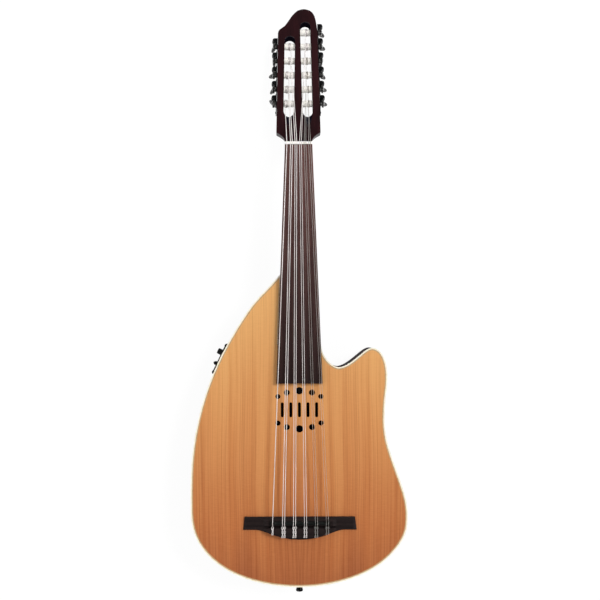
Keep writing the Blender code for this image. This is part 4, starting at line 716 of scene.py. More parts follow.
@dataclass(frozen=True)
class CedarTop(Finish):
    """Book-matched cedar: straight grain that darkens and reddens towards the tail. That darkening is partly the
    wood's tone and partly painted shade, standing in for the light falling off towards the tail.

    Attributes:
        tail: Colour at the tail.
        lower: Colour by the bridge.
        middle: Colour by the ports.
        upper: Colour at the shoulder.
        tail_y: Where the first colour stands.
        upper_y: Where the last colour is reached.
    """

    tail: Colour = (0.385, 0.113, 0.0375)
    lower: Colour = (0.550, 0.186, 0.057)
    middle: Colour = (0.700, 0.305, 0.102)
    upper: Colour = (0.840, 0.450, 0.163)
    tail_y: float = -0.100
    upper_y: float = 0.380

    def build(self, graph: Graph) -> bpy.types.Material:
        """Build the board's colour from its length, where painted shade darkens the tail, its growth rings and its
        silk.
        """
        x, y, z = graph.place()
        across = graph.number("ABSOLUTE", x)
        wander = graph.noise(graph.stretched(across, y, z, (9.0, 3.5, 1.0)), detail=1.0)
        across = graph.number("ADD", across, graph.number("MULTIPLY", wander, 0.012))
        rings = graph.noise(graph.stretched(across, y, z, (560.0, 3.0, 3.0)), detail=3.0,
                            roughness=0.6)
        bands = graph.noise(graph.stretched(across, y, z, (190.0, 1.6, 3.0)), detail=2.0)
        broad = graph.noise(graph.stretched(across, y, z, (26.0, 3.0, 3.0)), detail=2.0)
        silk = graph.noise(graph.stretched(across, y, z, (90.0, 1400.0, 3.0)), detail=2.0)
        # Painted shade: the colour darkens towards the tail partly for the wood's tone and partly for the light
        # falling off there.
        reach = graph.number("ADD", y, graph.swing(broad, -0.035, 0.035))
        base = graph.ramp(graph.spread(reach, self.tail_y, self.upper_y),
                          [(0.0, self.tail), (0.2, self.lower), (0.54, self.middle),
                           (0.92, self.upper)])
        lines = graph.ramp(rings, [(0.32, (0.72, 0.62, 0.52)), (0.52, WHITE)])
        colour = graph.blend("MULTIPLY", graph.spread(y, 0.02, 0.26, 0.9, 0.5), base, lines)
        streaks = graph.ramp(bands, [(0.30, (0.86, 0.72, 0.60)), (0.50, WHITE),
                                     (0.68, (1.05, 1.08, 1.10))])
        colour = graph.blend("MULTIPLY", graph.spread(y, 0.02, 0.26, 0.60, 0.28), colour, streaks)
        flecks = graph.ramp(silk, [(0.35, (0.90, 0.86, 0.81)), (0.6, WHITE)])
        colour = graph.blend("MULTIPLY", graph.spread(y, -0.02, 0.12, 0.8, 0.35), colour, flecks)
        graph.set(Base_Color=colour, Roughness=graph.swing(rings, 0.42, 0.34),
                  Specular_IOR_Level=0.4, Coat_Weight=0.25, Coat_Roughness=0.18)
        graph.relief(rings, 0.00003, 0.6)
        return graph.made


@dataclass(frozen=True)
class DarkLacquer(Finish):
    """Dark burgundy mahogany under gloss lacquer, its grain only just showing.

    Attributes:
        deep: Colour of the darkest figure.
        warm: Colour of the lightest figure.
        shine: How much of the light the wood itself throws back.
        coat: How much of the light the clear coat throws back.
        cuts: Whether the walls and scoops of the head's slots get painted shade: near-black and without gloss,
            standing in for the shade in these recesses.
        slot_shade: Colour of that painted shade.
        cuts_half: How far from the middle the slots reach.
        cuts_fade: Depths under the face where the painted shade starts and where it is full.
    """

    deep: Colour = (0.0095, 0.0020, 0.0030)
    warm: Colour = (0.0240, 0.0044, 0.0062)
    shine: float = 0.07
    coat: float = 0.20
    cuts: bool = False
    slot_shade: Colour = (0.0085, 0.0072, 0.0140)
    cuts_half: float = 0.0290
    cuts_fade: tuple[float, float] = (0.0001, 0.0012)

    def build(self, graph: Graph) -> bpy.types.Material:
        """Build long pores and slow figure under a clear coat."""
        x, y, z = graph.place()
        figure = graph.noise(graph.stretched(x, y, z, (120.0, 9.0, 120.0)), detail=3.0)
        pores = graph.noise(graph.stretched(x, y, z, (1500.0, 60.0, 1500.0)), detail=2.0)
        cloud = graph.noise(graph.stretched(x, y, z, (14.0, 7.0, 14.0)), detail=2.0)
        mix = graph.number("ADD", graph.number("MULTIPLY", figure, 0.6),
                           graph.number("MULTIPLY", cloud, 0.4))
        colour = graph.ramp(mix, [(0.34, self.deep), (0.66, self.warm)])
        dots = graph.ramp(pores, [(0.30, (0.45, 0.40, 0.40)), (0.42, WHITE)])
        colour = graph.blend("MULTIPLY", 0.7, colour, dots)
        shine, coat = self.shine, self.coat
        # Painted shade: the slot walls and scoops turn near-black and lose their shine and coat, for the shade in
        # these recesses.
        if self.cuts:
            inside = self.slot_shade_mask(graph, x, y, z)
            colour = graph.blend("MIX", inside, colour, self.slot_shade)
            shine = graph.spread(inside, 0.0, 1.0, shine, 0.0)
            coat = graph.spread(inside, 0.0, 1.0, coat, 0.0)
        graph.set(Base_Color=colour, Roughness=graph.swing(cloud, 0.30, 0.38),
                  Specular_IOR_Level=shine, Coat_Weight=coat, Coat_Roughness=0.05)
        graph.relief(cloud, 0.00006, 0.25)
        return graph.made

    def slot_shade_mask(self, graph: Graph, x: Socket, y: Socket, z: Socket) -> Socket:
        """One inside the head's slots and scoops, where the painted shade goes: below its face and away from its
        sides.

        With a the head's tilt, the depth under its face is (top - z) cos a - (y - start) sin a,
        and the way up its face is (y - start) cos a + (top - z) sin a.
        """
        tilt = math.radians(LAYOUT.head_angle)
        ahead = graph.number("SUBTRACT", y, LAYOUT.head_start_y)
        drop = graph.number("SUBTRACT", LAYOUT.top_z, z)
        depth = graph.number("SUBTRACT", graph.number("MULTIPLY", drop, math.cos(tilt)),
                             graph.number("MULTIPLY", ahead, math.sin(tilt)))
        up = graph.number("ADD", graph.number("MULTIPLY", ahead, math.cos(tilt)),
                          graph.number("MULTIPLY", drop, math.sin(tilt)))
        on_right = graph.number("GREATER_THAN", x, 0.0)
        left_end, right_end = (LAYOUT.slot_end(count) for count in (5, 6))
        end = graph.spread(on_right, 0.0, 1.0, left_end, right_end)
        inside = graph.spread(depth, *self.cuts_fade)
        for test in (graph.number("LESS_THAN", depth, LAYOUT.head_thickness - 0.0002),
                     graph.number("LESS_THAN", graph.number("ABSOLUTE", x), self.cuts_half),
                     graph.number("GREATER_THAN", up, LAYOUT.head_flare_end),
                     graph.number("LESS_THAN", up, end)):
            inside = graph.number("MULTIPLY", inside, test)
        return inside


@dataclass(frozen=True)
class DarkWood(Finish):
    """Oiled dark wood with fine open pores; where near is under one, painted shade darkens it towards the
    soundboard.

    Attributes:
        dark: Colour of the deepest lines.
        light: Colour of the lightest lines.
        lengthwise: Whether the grain runs along Y, as in the fingerboard, or along X.
        gloss: Roughness between the pores.
        sheen: How much of the light the oiled surface throws back.
        near: Share of the colour that is left at the end over the soundboard, where painted shade darkens it.
        near_y: Where the colour starts to come back.
        far_y: Where it is back in full.
    """

    dark: Colour = (0.060, 0.026, 0.025)
    light: Colour = (0.150, 0.072, 0.064)
    lengthwise: bool = True
    gloss: float = 0.42
    sheen: float = 0.15
    near: float = 1.0
    near_y: float = 0.215
    far_y: float = 0.560

    def grain(self, across: float, along: float, deep: float) -> tuple[float, float, float]:
        """Scales across, along and into the grain, put in the order of X, Y and Z."""
        return (across, along, deep) if self.lengthwise else (along, across, deep)

    def build(self, graph: Graph) -> bpy.types.Material:
        """Build grain lines of two widths and short dark pores."""
        x, y, z = graph.place()
        lines = graph.noise(graph.stretched(x, y, z, self.grain(1300.0, 12.0, 900.0)), detail=3.0,
                            roughness=0.6)
        bands = graph.noise(graph.stretched(x, y, z, self.grain(260.0, 3.0, 200.0)), detail=2.0)
        pores = graph.noise(graph.stretched(x, y, z, self.grain(2200.0, 150.0, 1500.0)), detail=1.0)
        line_share = 0.52 if self.lengthwise else 0.58
        mix = graph.number("ADD", graph.number("MULTIPLY", lines, line_share),
                           graph.number("MULTIPLY", bands, 0.5))
        colour = graph.ramp(mix, [(0.36, self.dark), (0.64, self.light)])
        dots = graph.ramp(pores, [(0.30, (0.35, 0.33, 0.33)), (0.40, WHITE)])
        colour = graph.blend("MULTIPLY", 0.8, colour, dots)
        # Painted shade: the colour darkens towards the end over the soundboard.
        if self.near < 1.0:
            share = graph.spread(y, self.near_y, self.far_y, self.near, 1.0)
            colour = graph.blend("MULTIPLY", 1.0, colour, share)
        graph.set(Base_Color=colour, Roughness=graph.swing(lines, self.gloss + 0.06, self.gloss),
                  Specular_IOR_Level=self.sheen)
        graph.relief(lines, 0.00004, 0.5)
        return graph.made


@dataclass(frozen=True)
class PaleSolid(Finish):
    """Smooth pale material: bone, ivory-coloured plastic or nylon.

    Attributes:
        colour: Main colour.
        shade: Colour of its faint clouds.
        glow: How much light passes under its surface.
        roughness: Roughness of its polish.
    """

    colour: Colour = (0.86, 0.82, 0.70)
    shade: Colour = (0.74, 0.68, 0.54)
    glow: float = 0.15
    roughness: float = 0.30

    def build(self, graph: Graph) -> bpy.types.Material:
        """Build faint clouds and hair-fine scratches."""
        x, y, z = graph.place()
        cloud = graph.noise(graph.stretched(x, y, z, (220.0, 220.0, 220.0)), detail=3.0)
        rub = graph.noise(graph.stretched(x, y, z, (2600.0, 500.0, 1400.0)), detail=2.0)
        colour = graph.ramp(cloud, [(0.30, self.shade), (0.55, self.colour)])
        graph.set(Base_Color=colour, Subsurface_Weight=self.glow, Subsurface_Scale=0.002,
                  Roughness=graph.swing(rub, self.roughness + 0.08, self.roughness - 0.05))
        graph.relief(rub, 0.00002, 0.25)
        return graph.made


@dataclass(frozen=True)
class Plated(Finish):
    """Plated metal with faint brushing and duller patches.

    Attributes:
        colour: Colour of the plating.
        worn: Colour where it is rubbed.
        roughness: Roughness of the polish.
    """

    colour: Colour = (0.030, 0.030, 0.034)
    worn: Colour = (0.110, 0.108, 0.108)
    roughness: float = 0.24

    def build(self, graph: Graph) -> bpy.types.Material:
        """Build rubbed patches and fine brushing."""
        x, y, z = graph.place()
        patch = graph.noise(graph.stretched(x, y, z, (420.0, 420.0, 420.0)), detail=4.0)
        brush = graph.noise(graph.stretched(x, y, z, (900.0, 3200.0, 900.0)), detail=2.0)
        colour = graph.ramp(patch, [(0.48, self.colour), (0.74, self.worn)])
        graph.set(Base_Color=colour, Metallic=0.92,
                  Roughness=graph.swing(brush, self.roughness + 0.12, self.roughness))
        graph.relief(brush, 0.00002, 0.3)
        return graph.made


@dataclass(frozen=True)
class Moulded(Finish):
    """Moulded plastic with a fine even texture.

    Attributes:
        colour: Its colour.
        roughness: Roughness of the moulding.
        texture: Depth of the texture in metres.
        sheen: How much of the light its surface throws back.
    """

    colour: Colour = (0.012, 0.012, 0.013)
    roughness: float = 0.26
    texture: float = 0.00002
    sheen: float = 0.5

    def build(self, graph: Graph) -> bpy.types.Material:
        """Build a fine grain, with dust-dull patches."""
        x, y, z = graph.place()
        speck = graph.noise(graph.stretched(x, y, z, (5200.0, 5200.0, 5200.0)), detail=1.0)
        dull = graph.noise(graph.stretched(x, y, z, (90.0, 90.0, 90.0)), detail=3.0)
        light = tuple(min(1.0, c * 1.35 + 0.002) for c in self.colour)
        graph.set(Base_Color=graph.ramp(dull, [(0.35, self.colour), (0.75, light)]),
                  Roughness=graph.swing(dull, self.roughness, self.roughness + 0.10),
                  Specular_IOR_Level=self.sheen)
        graph.relief(speck, self.texture, 0.4)
        return graph.made


@dataclass(frozen=True)
class WoundWire(Finish):
    """Silvered wire wound round a core, its turns about a third of a millimetre apart."""

    colour: Colour = (0.88, 0.83, 0.81)
    turns_per_metre: float = 3000.0

    def build(self, graph: Graph) -> bpy.types.Material:
        """Build the ridges of the winding from the distance along the string."""
        split = graph.node("ShaderNodeSeparateXYZ")
        graph.feed(split.inputs[0], graph.node("ShaderNodeUVMap", uv_map="run").outputs[0])
        wave = graph.number("SINE", graph.number("MULTIPLY", split.outputs[0],
                                                 2 * math.pi * self.turns_per_metre))
        x, y, z = graph.place()
        tarnish = graph.noise(graph.stretched(x, y, z, (60.0, 25.0, 60.0)), detail=3.0)
        dim = tuple(c * 0.80 for c in self.colour)
        graph.set(Base_Color=graph.ramp(tarnish, [(0.35, dim), (0.60, self.colour)]), Metallic=0.6,
                  Roughness=graph.swing(tarnish, 0.52, 0.44))
        graph.relief(wave, 0.00006, 0.25)
        return graph.made


@dataclass(frozen=True)
class NylonString(Finish):
    """Plain nylon string: pale, half clear and smooth."""

    colour: Colour = (0.92, 0.88, 0.83)

    def build(self, graph: Graph) -> bpy.types.Material:
        """Build a half-clear body with faint cloudiness."""
        x, y, z = graph.place()
        cloud = graph.noise(graph.stretched(x, y, z, (40.0, 30.0, 40.0)), detail=2.0)
        dim = tuple(c * 0.85 for c in self.colour)
        graph.set(Base_Color=graph.ramp(cloud, [(0.35, dim), (0.65, self.colour)]),
                  Roughness=graph.swing(cloud, 0.34, 0.28),
                  Transmission_Weight=0.82, IOR=1.53)
        return graph.made


@dataclass(frozen=True)
class Finishes:
    """Every finish of the instrument."""

    cedar: Finish = CedarTop("cedar_top", Slot.CEDAR)
    lacquer: Finish = DarkLacquer("mahogany_lacquer", Slot.MAHOGANY, shine=0.0, coat=0.06)
    # The neck's slot walls and scoops get painted shade.
    neck: Finish = DarkLacquer("neck_lacquer", Slot.MAHOGANY, cuts=True)
    # The fingerboard darkens towards the soundboard by painted shade.
    fingerboard: Finish = DarkWood("fingerboard", Slot.EBONY, near=0.20)
    bridge: Finish = DarkWood("bridge_wood", Slot.EBONY, dark=(0.0070, 0.0045, 0.0047),
                              light=(0.0210, 0.0132, 0.0125), lengthwise=False, gloss=0.46,
                              sheen=0.10)
    binding: Finish = PaleSolid("binding", Slot.IVORY, colour=(0.98, 0.905, 0.74),
                                shade=(0.93, 0.83, 0.62), glow=0.05)
    line: Finish = PaleSolid("purfling", Slot.SPRUCE, colour=(0.58, 0.38, 0.190),
                             shade=(0.47, 0.295, 0.140), glow=0.0, roughness=0.5)
    roller: Finish = PaleSolid("roller_ivory", Slot.IVORY, colour=(0.99, 0.965, 0.91),
                               shade=(0.96, 0.92, 0.84), glow=0.0, roughness=0.20)
    bone: Finish = PaleSolid("bone", Slot.BONE, colour=(0.98, 0.965, 0.93),
                             shade=(0.94, 0.91, 0.86), glow=0.08)
    spruce: Finish = DarkWood("brace_spruce", Slot.SPRUCE, dark=(0.42, 0.26, 0.12),
                              light=(0.66, 0.46, 0.25), gloss=0.6)
    graphite: Finish = Moulded("saddle_graphite", Slot.GRAPHITE, colour=(0.0040, 0.0048, 0.0042),
                               roughness=0.46, sheen=0.12)
    hardware: Finish = Plated("black_hardware", Slot.BLACK_STEEL, colour=(0.012, 0.012, 0.014),
                              worn=(0.050, 0.049, 0.049), roughness=0.14)
    wheel: Finish = Plated("wheel_plating", Slot.BLACK_STEEL, colour=(0.060, 0.059, 0.060),
                           worn=(0.48, 0.46, 0.43), roughness=0.16)
    steel: Finish = Plated("plain_steel", Slot.STEEL, colour=(0.50, 0.50, 0.51),
                           worn=(0.62, 0.61, 0.60), roughness=0.30)
    plastic: Finish = Moulded("black_plastic", Slot.BLACK_PLASTIC, colour=(0.0075, 0.0075, 0.008),
                              sheen=0.12)
    button: Finish = Plated("button_plating", Slot.BLACK_STEEL, colour=(0.070, 0.068, 0.070),
                            worn=(0.20, 0.195, 0.19), roughness=0.13)
    rubber: Finish = Moulded("lead_cover", Slot.BLACK_PLASTIC, colour=(0.020, 0.020, 0.021),
                             roughness=0.55, texture=0.00003)
    marks: Finish = Moulded("scale_marks", Slot.BLACK_PLASTIC, colour=(0.62, 0.62, 0.60),
                            roughness=0.45)
    wound: Finish = WoundWire("wound_string", Slot.WOUND)
    nylon: Finish = NylonString("nylon_string", Slot.NYLON)


# Places that the strings, head and controls share

def shifted(x: float, y: float, z: float) -> Array:
    """A matrix that moves by a distance."""
    made = np.eye(4)
    made[:3, 3] = (x, y, z)
    return made


def turned(axis: int, angle: float) -> Array:
    """A matrix that turns about X, Y or Z, numbered from 0."""
    a, b = (axis + 1) % 3, (axis + 2) % 3
    made = np.eye(4)
    made[a, a] = made[b, b] = math.cos(angle)
    made[a, b], made[b, a] = -math.sin(angle), math.sin(angle)
    return made


def joint_named(name: str) -> dict:
    """The record's entry for a joint."""
    return next(j for j in frame["joints"] if j["name"] == name)


@dataclass(frozen=True)
class Layout:
    """Places in the instrument, the same values as its solids are built from."""

    seat_gap: float = 0.0003
    scale_length: float = 0.585
    top_z: float = 0.070
    nut_thickness: float = 0.0038
    head_angle: float = 9.0
    head_thickness: float = 0.018
    head_base_half: float = 0.0344
    head_tip_half: float = 0.0312
    head_flare_end: float = 0.0160
    head_shoulder: float = 0.1798
    slot_inset: float = 0.019
    slot_width: float = 0.0165
    first_roller: float = 0.0665
    tuner_pitch: float = 0.0237
    slot_past_roller: float = 0.0149
    roller_depth: float = 0.0090
    roller_radius: float = 0.0052
    tie_hole_height: float = 0.0052
    tie_block_top: float = 0.0085
    tie_block_front_y: float = -0.0076
    saddle_crown: float = 0.0120
    saddle_width: float = 0.0060

    @property
    def head_start_y(self) -> float:
        """Where the head begins, past the nut."""
        return self.scale_length + 2 * self.seat_gap + self.nut_thickness

    @property
    def tie_hole_z(self) -> float:
        """Height of the holes through the tie block."""
        return self.top_z + self.seat_gap + self.tie_hole_height

    def slot_end(self, rollers: int) -> float:
        """Just past the far end of a slot with that many rollers, up the head's face."""
        return self.first_roller + (rollers - 1) * self.tuner_pitch + self.slot_past_roller

    def head_frame(self) -> Array:
        """Frame of the head: X across, Y up its face, Z out of its face."""
        made = shifted(0.0, self.head_start_y, self.top_z)
        return made @ turned(0, -math.radians(self.head_angle))

    def side_frame(self, side: Side) -> Array:
        """Frame on one side of the head, X out of it, at its first roller.

        Args:
            side: Which side.

        Returns:
            The frame, in the frame of the head.
        """
        run = self.head_shoulder - self.head_flare_end
        taper = math.atan2(self.head_base_half - self.head_tip_half, run)
        t = (self.first_roller - self.head_flare_end) / run
        half = self.head_base_half + (self.head_tip_half - self.head_base_half) * t
        s = side.value
        made = np.eye(4)
        made[:3, 0] = (s * math.cos(taper), math.sin(taper), 0.0)
        made[:3, 1] = (-math.sin(taper), s * math.cos(taper), 0.0)
        made[:3, 3] = (s * half, self.first_roller, 0.0)
        return made

    def unit_frame(self, side: Side, index: int) -> Array:
        """Frame of one roller: X along its axis and out of the head.

        Args:
            side: Which side.
            index: Its number from the nut, from 0.

        Returns:
            The frame, in the instrument's own frame.
        """
        step = shifted(0.0, side.value * index * self.tuner_pitch, -self.roller_depth)
        return self.head_frame() @ self.side_frame(side) @ step


LAYOUT = Layout()
FINISH = Finishes()


# Strings

@dataclass(frozen=True)
class Course:
    """One string: its course, its places across, and the roller that it winds on."""

    number: int
    course: int
    at_nut: float
    at_saddle: float
    side: Side
    roller: int


@dataclass
class Strings:
    """Eleven strings in six courses, tied at the bridge and wound on their rollers.

    Attributes:
        radii: Radius of each course's strings, from the bass.
        bass_at_nut: Place of the bass string across the nut.
        pitch_at_nut: Distance from course to course there.
        pair_at_nut: Distance between the two strings of a pair there.
        bass_at_saddle: Place of the bass string across the saddle.
        pitch_at_saddle: Distance from course to course there.
        pair_at_saddle: Distance between the two strings of a pair there.
        nut_rest_z: Height of the grooves in the nut.
        reach: Where each course meets its roller, from the slot's middle.
        rollers: Side and rollers of each pair.
        wraps: Turns of string on a roller.
        block_half: Half the length of the bridge's swelling.
        block_end: Rear edge of the tie block past the swelling.
        block_swell: How far the swelling reaches back.
        block_limit: How far back the block's top reaches at most.
        first_plain: The first course, from 0, whose strings aren't wound.
        knot_steps: Points between two of the knot's turning points.
        bend: How far the string's bends are cut back.
    """

    radii: tuple[float, ...] = (0.00062, 0.00055, 0.00048, 0.00040, 0.00038, 0.00035)
    bass_at_nut: float = -0.0182
    pitch_at_nut: float = 0.0070
    pair_at_nut: float = 0.0028
    bass_at_saddle: float = -0.04225
    pitch_at_saddle: float = 0.0169
    pair_at_saddle: float = 0.0033
    nut_rest_z: float = 0.0776
    reach: tuple[float, ...] = (0.0065, 0.0015, -0.0012, 0.0005, 0.0, 0.0010)
    rollers: dict[int, tuple[Side, tuple[int, int]]] = field(default_factory=lambda: {
        1: (Side.LEFT, (1, 2)), 2: (Side.LEFT, (3, 4)), 3: (Side.RIGHT, (4, 5)),
        4: (Side.RIGHT, (2, 3)), 5: (Side.RIGHT, (0, 1))})
    wraps: float = 3.25
    block_half: float = 0.067
    block_end: float = -0.0091
    block_swell: float = 0.0155
    block_limit: float = -0.0212
    first_plain: int = 4
    knot_steps: int = 4
    bend: float = 0.0009

    def table(self) -> list[Course]:
        """Work out every string's course, places and roller.

        Returns:
            The strings from bass to treble.
        """
        rows = [Course(1, 0, self.bass_at_nut, self.bass_at_saddle, Side.LEFT, 0)]
        for course, (side, pair) in self.rollers.items():
            for k, roller in zip((-0.5, 0.5), pair):
                rows.append(Course(
                    len(rows) + 1, course,
                    self.bass_at_nut + course * self.pitch_at_nut + k * self.pair_at_nut,
                    self.bass_at_saddle + course * self.pitch_at_saddle + k * self.pair_at_saddle,
                    side, roller))
        return rows

    def block_rear(self, x: float) -> float:
        """Rear edge of the tie block's top at a place across."""
        t = min(abs(x) / self.block_half, 1.0)
        swell = (1 - t * t) ** 2 * (1 + 0.9 * t * t)
        return max(self.block_limit, self.block_end - self.block_swell * swell)

    def tie(self, row: Course, radius: float) -> Array:
        """The knot, from the string's cut end to where it leaves the block's hole.

        The end lies over the block beside the loop, passes under the string in front of
        the block, comes back over the block, and goes down its rear into the hole.

        Args:
            row: The string.
            radius: Its radius.

        Returns:
            Points of the knot's middle line.
        """
        x = row.at_saddle
        r = radius
        rear, front = self.block_rear(x), LAYOUT.tie_block_front_y
        hole = LAYOUT.tie_hole_z
        top = LAYOUT.top_z + LAYOUT.seat_gap + LAYOUT.tie_block_top + r + 0.0001
        climb = hole + (LAYOUT.saddle_crown - LAYOUT.tie_hole_height) * 0.42
        points = [
            (x - 2.1 * r, rear - 0.0008, top + 0.2 * r),
            (x - 2.0 * r, rear + 0.0006, top + 0.2 * r),
            (x - 1.3 * r, rear + 0.0026, top + 0.2 * r),
            (x - 0.2 * r, rear + 0.0042, top + 2.0 * r),
            (x + 1.3 * r, rear + 0.0062, top + 0.6 * r),
            (x + 1.2 * r, front - 0.0040, top + 0.2 * r),
            (x - 1.2 * r, front - 0.0016, top + 0.2 * r),
            (x - 2.1 * r, front + 0.0006, top - 0.6 * r),
            (x - 1.9 * r, front + 0.0020, climb),
            (x, front + 0.0027, climb - 1.5 * r),
            (x + 2.1 * r, front + 0.0020, climb + 0.4 * r),
            (x + 1.9 * r, front + 0.0006, top - 0.5 * r),
            (x + 0.6 * r, front - 0.0016, top + 1.5 * r),
            (x - 1.1 * r, front - 0.0042, top + 1.1 * r),
            (x - 1.0 * r, rear + 0.0060, top + 0.5 * r),
            (x + 1.2 * r, rear + 0.0030, top + 0.9 * r),
            (x + 1.2 * r, rear + 0.0008, top + 0.1 * r),
            (x + 1.0 * r, rear - 0.0007, top - 0.0010),
            (x + 0.5 * r, rear - 0.0011, hole + 0.0008),
            (x, rear - 0.0009, hole),
            (x, rear - 0.0002, hole)]
        return eased(np.array(points), self.knot_steps)

    def run(self, row: Course, radius: float) -> Array:
        """The string from the block's hole over saddle and nut to its roller.

        Args:
            row: The string.
            radius: Its radius.

        Returns:
            Points of its middle line.
        """
        hole = LAYOUT.tie_hole_z
        crown = LAYOUT.top_z + LAYOUT.saddle_crown + LAYOUT.seat_gap + radius
        nut_z = self.nut_rest_z + radius
        nut_y = LAYOUT.scale_length + LAYOUT.seat_gap
        unit = LAYOUT.unit_frame(row.side, row.roller)
        local = np.array([-LAYOUT.slot_inset + self.reach[row.course], 0.0,
                          LAYOUT.roller_radius + LAYOUT.seat_gap + radius, 1.0])
        corners = np.array([
            (row.at_saddle, LAYOUT.tie_block_front_y - 0.006, hole),
            (row.at_saddle, LAYOUT.tie_block_front_y + 0.0004, hole),
            (row.at_saddle, -LAYOUT.saddle_width * 0.15, crown),
            (row.at_saddle, LAYOUT.saddle_width * 0.15, crown),
            (row.at_nut, nut_y, nut_z), (row.at_nut, nut_y + LAYOUT.nut_thickness, nut_z - 0.0002),
            (unit @ local)[:3]])
        return rounded(corners, self.bend)

    def winding(self, row: Course, radius: float) -> Skin:
        """The turns of string on a roller, in the roller's own frame.

        A point of the helix is (x, R sin t, R cos t), x moving one string's width a turn.
        The last quarter turn sinks into the roller's hole.

        Args:
            row: The string.
            radius: Its radius.

        Returns:
            The tube of the turns.
        """
        step, sink, points, sinking = 2.12 * radius, 2.6 * radius, 90, 8
        t = np.linspace(0, 2 * math.pi * self.wraps, points)
        way = -1.0 if self.reach[row.course] > 0.002 else 1.0
        x = -LAYOUT.slot_inset + self.reach[row.course] + way * step * t / (2 * math.pi)
        size = np.full(points, LAYOUT.roller_radius + radius + 0.00005)
        size[-sinking:] -= np.linspace(0.0, sink, sinking)
        path = np.column_stack([x, -row.side.value * size * np.sin(-t), size * np.cos(t)])
        return tube(path, radius, 10)

    def build(self) -> None:
        """Build every string as one tube, and its turns as a piece on the roller."""
        for row in self.table():
            radius = self.radii[row.course]
            finish = FINISH.wound if row.course < self.first_plain else FINISH.nylon
            node = f"string_{row.number:02d}"
            knot, run = self.tie(row, radius), self.run(row, radius)
            make_piece(node + "_strand", tube(np.concatenate([knot, run]), radius, 12), finish,
                       replaces=[node], sharp=60.0)
            label = f"{row.side.word}_{row.roller + 1}"
            turns = self.winding(row, radius).placed(LAYOUT.unit_frame(row.side, row.roller))
            make_piece(node + "_turns", turns, finish, body="roller_" + label, sharp=60.0)
            LOG.info("string %d on roller %s", row.number, label)


# Machine heads

